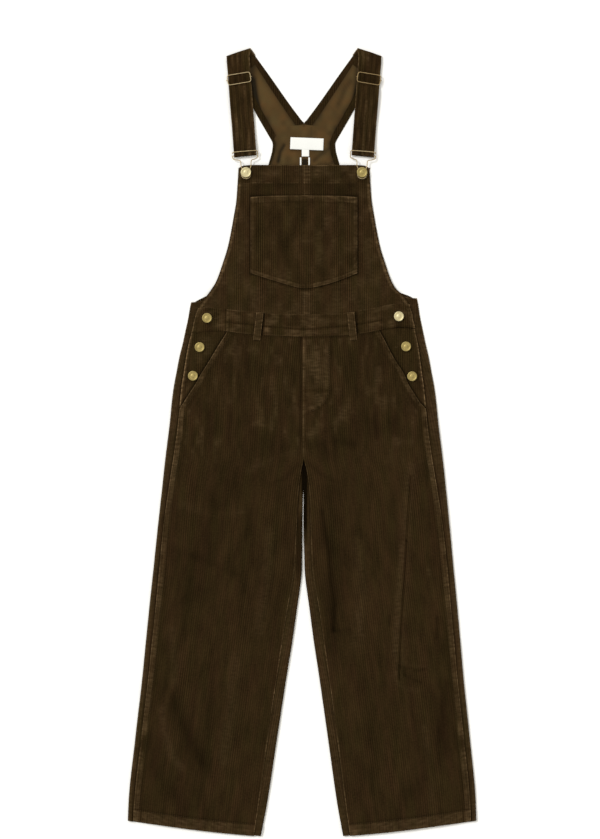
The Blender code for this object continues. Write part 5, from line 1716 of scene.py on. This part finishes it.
WIRE_RADIUS = 0.77
WIRE_ROUND = 4
SLIDER_SHIFT = 0.9
SLIDER_SLOPE = 0.17
SLIDER_HALF_LENGTH = 20.2
SLIDER_HALF_HEIGHT = 8.55
SLIDER_CORNER = 4.0
CORNER_STEPS = 8
SLIDER_LEVEL = 6.75
SLIDER_BAR_LEVEL = 4.2
SLIDER_BAR_HALF = 22.6
SLIDER_BAR_POINTS = 5
BIB_BUTTON = (101.5, 471.2)
CLIP_SLOPE = 0.1
CLIP_SLOPE_FROM = 12.0
CLIP_SLOPE_FULL = 31.0
Bend = namedtuple("Bend", "across up level")
CLIP_BAR = (Bend(-19.2, 31.0, 4.4), Bend(0.0, 31.0, 4.4), Bend(19.6, 31.0, 4.4),
            Bend(22.2, 29.6, 4.6))
CLIP_SIDE = (Bend(21.0, 25.0, 5.4), Bend(15.5, 22.6, 6.1), Bend(10.8, 21.4, 6.6),
             Bend(9.0, 18.0, 7.1), Bend(8.8, 12.0, 7.4), Bend(7.2, 7.2, 7.4),
             Bend(5.7, 3.4, 7.4), Bend(6.8, -0.9, 7.4), Bend(7.7, -4.2, 7.4),
             Bend(5.6, -8.8, 7.4))
CLIP_FOOT = Bend(0.0, -11.0, 7.4)
CLIP_TOP = (Bend(-21.6, 29.5, 6.0), Bend(-21.6, 33.6, 7.6), Bend(-19.2, 36.2, 8.7),
            Bend(0.0, 37.0, 8.95), Bend(19.2, 37.0, 8.7), Bend(21.6, 34.4, 7.9))
CLIP_STEPS = 6
TARNISH_SCALE = 260.0
SCRATCH_SCALE = 2200.0
BRASS_ROUGHNESS = 0.40
BRASS = (0.24, 0.17, 0.075, 1.0)
BRASS_PALE = (0.68, 0.55, 0.34, 1.0)
# A darker copy of the brass for the right slider, as painted shade.
BRASS_SHADED = (0.17, 0.105, 0.038, 1.0)
BRASS_SHADED_PALE = (0.50, 0.37, 0.19, 1.0)


def brass(name, low, high):
    """Brushed and slightly tarnished brass, between two colours."""
    finish = Finish(name, metallic=1.0)
    cloud = finish.noise(finish.in_place(), TARNISH_SCALE, 3.0)
    scratch = finish.noise(finish.in_place(), SCRATCH_SCALE)
    finish.give("Base Color", finish.mix(cloud, low, high))
    finish.give("Roughness", BRASS_ROUGHNESS + 0.2 * cloud + 0.08 * scratch)
    finish.bump(scratch, 0.12, 0.0002)
    return finish


wire_brass = brass("brass_wire", BRASS, BRASS_PALE)
shaded_brass = brass("brass_wire_shaded", BRASS_SHADED, BRASS_SHADED_PALE)


def wire(name, points, cyclic=False, finish=wire_brass):
    """Round wire along points in metres."""
    curve = bpy.data.curves.new(name, "CURVE")
    curve.dimensions = "3D"
    curve.bevel_depth = WIRE_RADIUS * MM
    curve.bevel_resolution = WIRE_ROUND
    curve.use_fill_caps = not cyclic
    spline = curve.splines.new("POLY")
    spline.points.add(len(points) - 1)
    for knot, point in zip(spline.points, points):
        knot.co = (*point, 1.0)
    spline.use_cyclic_u = cyclic
    bent = bpy.data.objects.new(name, curve)
    mesh = bpy.data.meshes.new_from_object(bent)
    bpy.data.objects.remove(bent)
    mesh.shade_smooth()
    return linked(name, mesh, finish)


def on_strap(side, reach, up, level):
    """Point beside the slider's middle, with reach outwards along it."""
    length = math.hypot(1.0, SLIDER_SLOPE)
    half = strap_middle(SLIDER_Y) + SLIDER_SHIFT + (reach + up * SLIDER_SLOPE) / length
    return place(side, half, SLIDER_Y + (up - reach * SLIDER_SLOPE) / length, level)


def slider(tag, side):
    points = []
    for quarter, (out, up) in enumerate(((1, 1), (-1, 1), (-1, -1), (1, -1))):
        for step in range(CORNER_STEPS + 1):
            angle = math.pi / 2 * (quarter + step / CORNER_STEPS)
            reach = out * (SLIDER_HALF_LENGTH - SLIDER_CORNER) + SLIDER_CORNER * math.cos(angle)
            lift = up * (SLIDER_HALF_HEIGHT - SLIDER_CORNER) + SLIDER_CORNER * math.sin(angle)
            points.append(on_strap(side, reach, lift, SLIDER_LEVEL))
    # The right slider gets the darker copy of the brass, as painted shade.
    finish = wire_brass if side < 0 else shaded_brass
    dress(wire("brass_slider_" + tag, points, cyclic=True, finish=finish), "brass", "slider_" + tag)
    ends = [on_strap(side, reach, 0.0, SLIDER_BAR_LEVEL)
            for reach in np.linspace(SLIDER_BAR_HALF, -SLIDER_BAR_HALF, SLIDER_BAR_POINTS)]
    dress(wire("brass_slider_bar_" + tag, ends, finish=finish), "brass", "slider_bar_" + tag)


def smooth_line(points, steps):
    """Points of a smooth line through the given ones."""
    line = [points[0]]
    padded = [points[0], *points, points[-1]]
    for before, start, end, after in zip(padded, padded[1:], padded[2:], padded[3:]):
        for step in range(1, steps + 1):
            t = step / steps
            line.append(0.5 * (2 * start + (end - before) * t
                               + (2 * before - 5 * start + 4 * end - after) * t**2
                               + (3 * start - before - 3 * end + after) * t**3))
    return line


def clip(tag, side):
    mirrored = tuple(Bend(-bend.across, bend.up, bend.level) for bend in CLIP_SIDE[::-1])
    points = []
    for bend in CLIP_BAR + CLIP_SIDE + (CLIP_FOOT,) + mirrored + CLIP_TOP:
        share = ease((bend.up - CLIP_SLOPE_FROM) / (CLIP_SLOPE_FULL - CLIP_SLOPE_FROM))
        y = BIB_BUTTON[1] + bend.up
        middle = BIB_BUTTON[0] + (strap_middle(y) - BIB_BUTTON[0]) * share
        sunk = share * CLIP_SLOPE * bend.across
        points.append(place(side, middle + bend.across, y - sunk, bend.level))
    dress(wire("brass_clip_" + tag, smooth_line(points, CLIP_STEPS)), "brass", "clip_" + tag)


for tag, side in SIDES:
    slider(tag, side)
    clip(tag, side)

# ------------------------------------------------------------------------------------------
# Shank buttons: pressed brass caps on a short neck. A raised rim and a ring of small lobes
# surround a plain middle. Two sit on the bib's band and three at each side opening.

Spot = namedtuple("Spot", "x y")
HIP_BUTTONS = {"l": (Spot(-166.1, 216.5), Spot(-179.2, 165.6), Spot(-190.8, 115.4)),
               "r": (Spot(169.4, 219.4), Spot(182.0, 166.7), Spot(192.6, 114.6))}
HIP_BUTTON_SIZE = 0.95
Turn = namedtuple("Turn", "radius up")
BUTTON_FACE = (Turn(0.0, 2.35), Turn(2.0, 2.3), Turn(3.2, 2.15), Turn(3.6, 1.85), Turn(4.1, 1.8),
               Turn(6.4, 1.75), Turn(6.9, 1.85), Turn(7.3, 2.35), Turn(7.9, 2.55), Turn(8.6, 2.3),
               Turn(9.1, 1.5), Turn(9.2, 0.8), Turn(8.8, 0.15), Turn(8.2, 0.0))
BUTTON_FLANGE = 0.6
BUTTON_NECK_RADIUS = 3.5
BUTTON_FLANGE_RADIUS = 5.5
BUTTON_STEPS = 40
LOBES = 14
LOBE_RING = 5.3
LOBE_UP = 1.75
LOBE_SIZE = (0.9, 0.6, 0.32)
BUTTON_WELD = 0.005
BIB_NECK = 2 * WIRE_RADIUS + 2 * LAYER_GAP
HIP_NECK = 0.6
BUTTON_BRASS = (0.26, 0.19, 0.06, 1.0)
BUTTON_PALE = (0.51, 0.42, 0.175, 1.0)
# Lighter colours for two of the buttons, as a painted reflection.
BUTTON_LIT = (0.46, 0.39, 0.21, 1.0)
BUTTON_BRIGHT = (0.82, 0.74, 0.47, 1.0)
BRIGHT_BUTTONS = ("bib_button_l", "hip_button_r_1")

button_brass = brass("brass_button", BUTTON_BRASS, BUTTON_PALE)
bright_brass = brass("brass_button_bright", BUTTON_LIT, BUTTON_BRIGHT)


def button(name, node, spot, neck, breadth=1.0):
    """Button turned about its own axis at a spot, with its lobes set round the face."""
    cap = BUTTON_FLANGE + neck
    profile = [(turn.radius * breadth, cap + turn.up) for turn in BUTTON_FACE]
    profile += [(BUTTON_NECK_RADIUS, cap), (BUTTON_NECK_RADIUS, BUTTON_FLANGE),
                (BUTTON_FLANGE_RADIUS, BUTTON_FLANGE), (BUTTON_FLANGE_RADIUS, 0.0), (0.0, 0.0)]
    shape = bmesh.new()
    line = [shape.verts.new((radius * MM, 0.0, up * MM)) for radius, up in profile]
    edges = [shape.edges.new(pair) for pair in zip(line, line[1:])]
    bmesh.ops.spin(shape, geom=line + edges, cent=(0, 0, 0), axis=(0, 0, 1), angle=2 * math.pi,
                   steps=BUTTON_STEPS, use_merge=True)
    bmesh.ops.remove_doubles(shape, verts=shape.verts, dist=BUTTON_WELD * MM)
    bmesh.ops.recalc_face_normals(shape, faces=shape.faces)
    for number in range(LOBES):
        turn = Matrix.Rotation(2 * math.pi * number / LOBES, 4, "Z")
        shift = Matrix.Translation((LOBE_RING * breadth * MM, 0.0, (cap + LOBE_UP) * MM))
        size = Matrix.Diagonal((*LOBE_SIZE, 1.0))
        bmesh.ops.create_icosphere(shape, subdivisions=2, radius=MM, matrix=turn @ shift @ size)
    bmesh.ops.translate(shape, verts=shape.verts, vec=spot)
    # Two buttons get the lighter copy of the brass, as a painted reflection.
    finish = bright_brass if node in BRIGHT_BUTTONS else button_brass
    dress(shaped(name, shape, finish), "brass", node)


for tag, side in SIDES:
    half, y = BIB_BUTTON
    base = float(bib_level(half - BUTTON_FLANGE_RADIUS, y)) + BAND_RISE
    spot = Vector(place(side, half, y, base + LAYER_GAP))
    button("brass_bib_button_" + tag, "bib_button_" + tag, spot, BIB_NECK)
    for number, (x, y) in enumerate(HIP_BUTTONS[tag], start=1):
        base = float(front_level(x - CENTRE_X, y)) + (BAND_RISE if number == 1 else -FACING_DROP)
        node = "hip_button_%s_%d" % (tag, number)
        spot = Vector((x, y, base + LAYER_GAP)) * MM
        button("brass_" + node, node, spot, HIP_NECK, HIP_BUTTON_SIZE)

# ------------------------------------------------------------------------------------------
# Sewing thread: brown topstitching, one small rounded stitch after another along each sewn
# line, with close bars of stitches where a seam is under strain.

STITCH = 2.5
STITCH_STEP = 3.3
STITCH_AHEAD = 0.5
THREAD_HALF = 0.34
THREAD_BROWN = (0.070, 0.043, 0.016, 1.0)
THREAD_SHADE = (0.034, 0.021, 0.008, 1.0)
THREAD_SINK = 0.15
PLY_SCALE = 1800.0
HOLE_HALF = 3.2
HOLE_HEIGHT = 2.0
HOLE_STEP = 0.8
HOLE_INWARDS = 16.0
HOLE_DROP = 1.5
SIDE_LINE = (54.0, -655.0)
SECOND_SIDE_LINE = (52.0, -652.0)
SIDE_LINE_POINTS = 160
MOUTH_LINE = (191.0, 60.0)
MOUTH_LINE_POINTS = 60
HEM_LINE_REACH = 101.0
HEM_LINE_POINTS = 60
FLY_LINE_TOP_Y = 182.0
FLY_LINE_POINTS = 70
FLY_LINES = (1.5, 7.0)

thread_finish = Finish("thread", roughness=0.7)
thread_ply = thread_finish.noise(thread_finish.in_place(), PLY_SCALE)
thread_finish.give("Base Color", thread_finish.mix(thread_ply, THREAD_SHADE, THREAD_BROWN))
thread_finish.give("Specular IOR Level", 0.1)
thread_finish.bump(thread_ply, 0.3, 0.0002)


def points_at(line, run, at):
    """Points at given distances along a line. run says how far along it its own points lie."""
    return np.stack([np.interp(at, run, line[:, axis]) for axis in range(3)], axis=-1)


def stitched(name, lines, step=STITCH_STEP, length=STITCH):
    """Thread along lines of points in metres, as one piece."""
    shape = bmesh.new()
    for line in lines:
        run = run_along(line)
        at = np.arange(step * MM / 2, run[-1], step * MM)
        spots = points_at(line, run, at)
        heads = points_at(line, run, at + STITCH_AHEAD * MM)
        for spot, head in zip(spots, heads):
            way = Vector(head - spot)
            turn = Matrix.Identity(4)
            if way.length:
                turn = way.to_track_quat("X", "Z").to_matrix().to_4x4()
            size = Matrix.Diagonal((length / 2, THREAD_HALF, THREAD_HALF, 1.0))
            matrix = Matrix.Translation(spot) @ turn @ size
            bmesh.ops.create_icosphere(shape, subdivisions=1, radius=MM, matrix=matrix)
    piece = shaped(name, shape, thread_finish)
    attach(piece, "root")


def on_front(side, half, y, rise=0.0):
    """Stitches' places on the front cloth, in metres."""
    offset = side * half
    level = front_level(offset, y) + unevenness(offset, y, FRONT_LUMPS_SEED)
    return place(side, half, y, level + rise + THREAD_SINK)


def leg_line(side, inset, start, end):
    """Line of stitches down a front leg's side, inset from its outer edge."""
    y = np.linspace(start, end, SIDE_LINE_POINTS)
    return on_front(side, body("edge", y) - inset, y)


def mouth_line(side, inset):
    """Line of stitches beside a slanted pocket mouth."""
    y = np.linspace(*MOUTH_LINE, MOUTH_LINE_POINTS)
    return on_front(side, mouth_half(side, y) - inset / MOUTH_TILT, y)


def hem_line(side):
    """Line of stitches along a front leg's hem."""
    u = np.linspace(-HEM_LINE_REACH, HEM_LINE_REACH, HEM_LINE_POINTS)
    half, y, _, _ = leg_front_spot(side, u, np.full(u.shape, FRONT_LENGTH - HEM_STITCH))
    return on_front(side, half, y)


def fly_line(inset):
    """The mock fly's curved row of stitches."""
    y = np.linspace(FLY_LINE_TOP_Y, FLY_FOOT_Y + 1.0, FLY_LINE_POINTS)
    return on_front(1, np.maximum(fly_edge(y) - inset, 0.5), y, FLY_RISE)


for tag, side in SIDES:
    lines = [leg_line(side, EDGE_ROW, *SIDE_LINE), leg_line(side, OUTSEAM_ROW, *SECOND_SIDE_LINE),
             mouth_line(side, EDGE_ROW), mouth_line(side, MOUTH_ROW), hem_line(side)]
    stitched("thread_leg_" + tag, lines)
stitched("thread_fly", [fly_line(inset) for inset in FLY_LINES])


def buttonhole(x, y, rise):
    """End of a buttonhole: close stitches across its slit."""
    lines = []
    for across in np.arange(-HOLE_HALF, HOLE_HALF, HOLE_STEP):
        foot, head = y - HOLE_HEIGHT / 2, y + HOLE_HEIGHT / 2
        level = float(front_level(x + across - CENTRE_X, y)) + rise + THREAD_SINK
        lines.append(np.array(((x + across, foot, level), (x + across, head, level))) * MM)
    return lines


for tag, side in SIDES:
    holes = []
    for (x, y), rise in zip(HIP_BUTTONS[tag], (BAND_RISE, -FACING_DROP)):
        holes += buttonhole(x - side * HOLE_INWARDS, y - HOLE_DROP, rise)
    stitched("thread_buttonholes_" + tag, holes, step=HOLE_HEIGHT * 1.2, length=HOLE_HEIGHT)
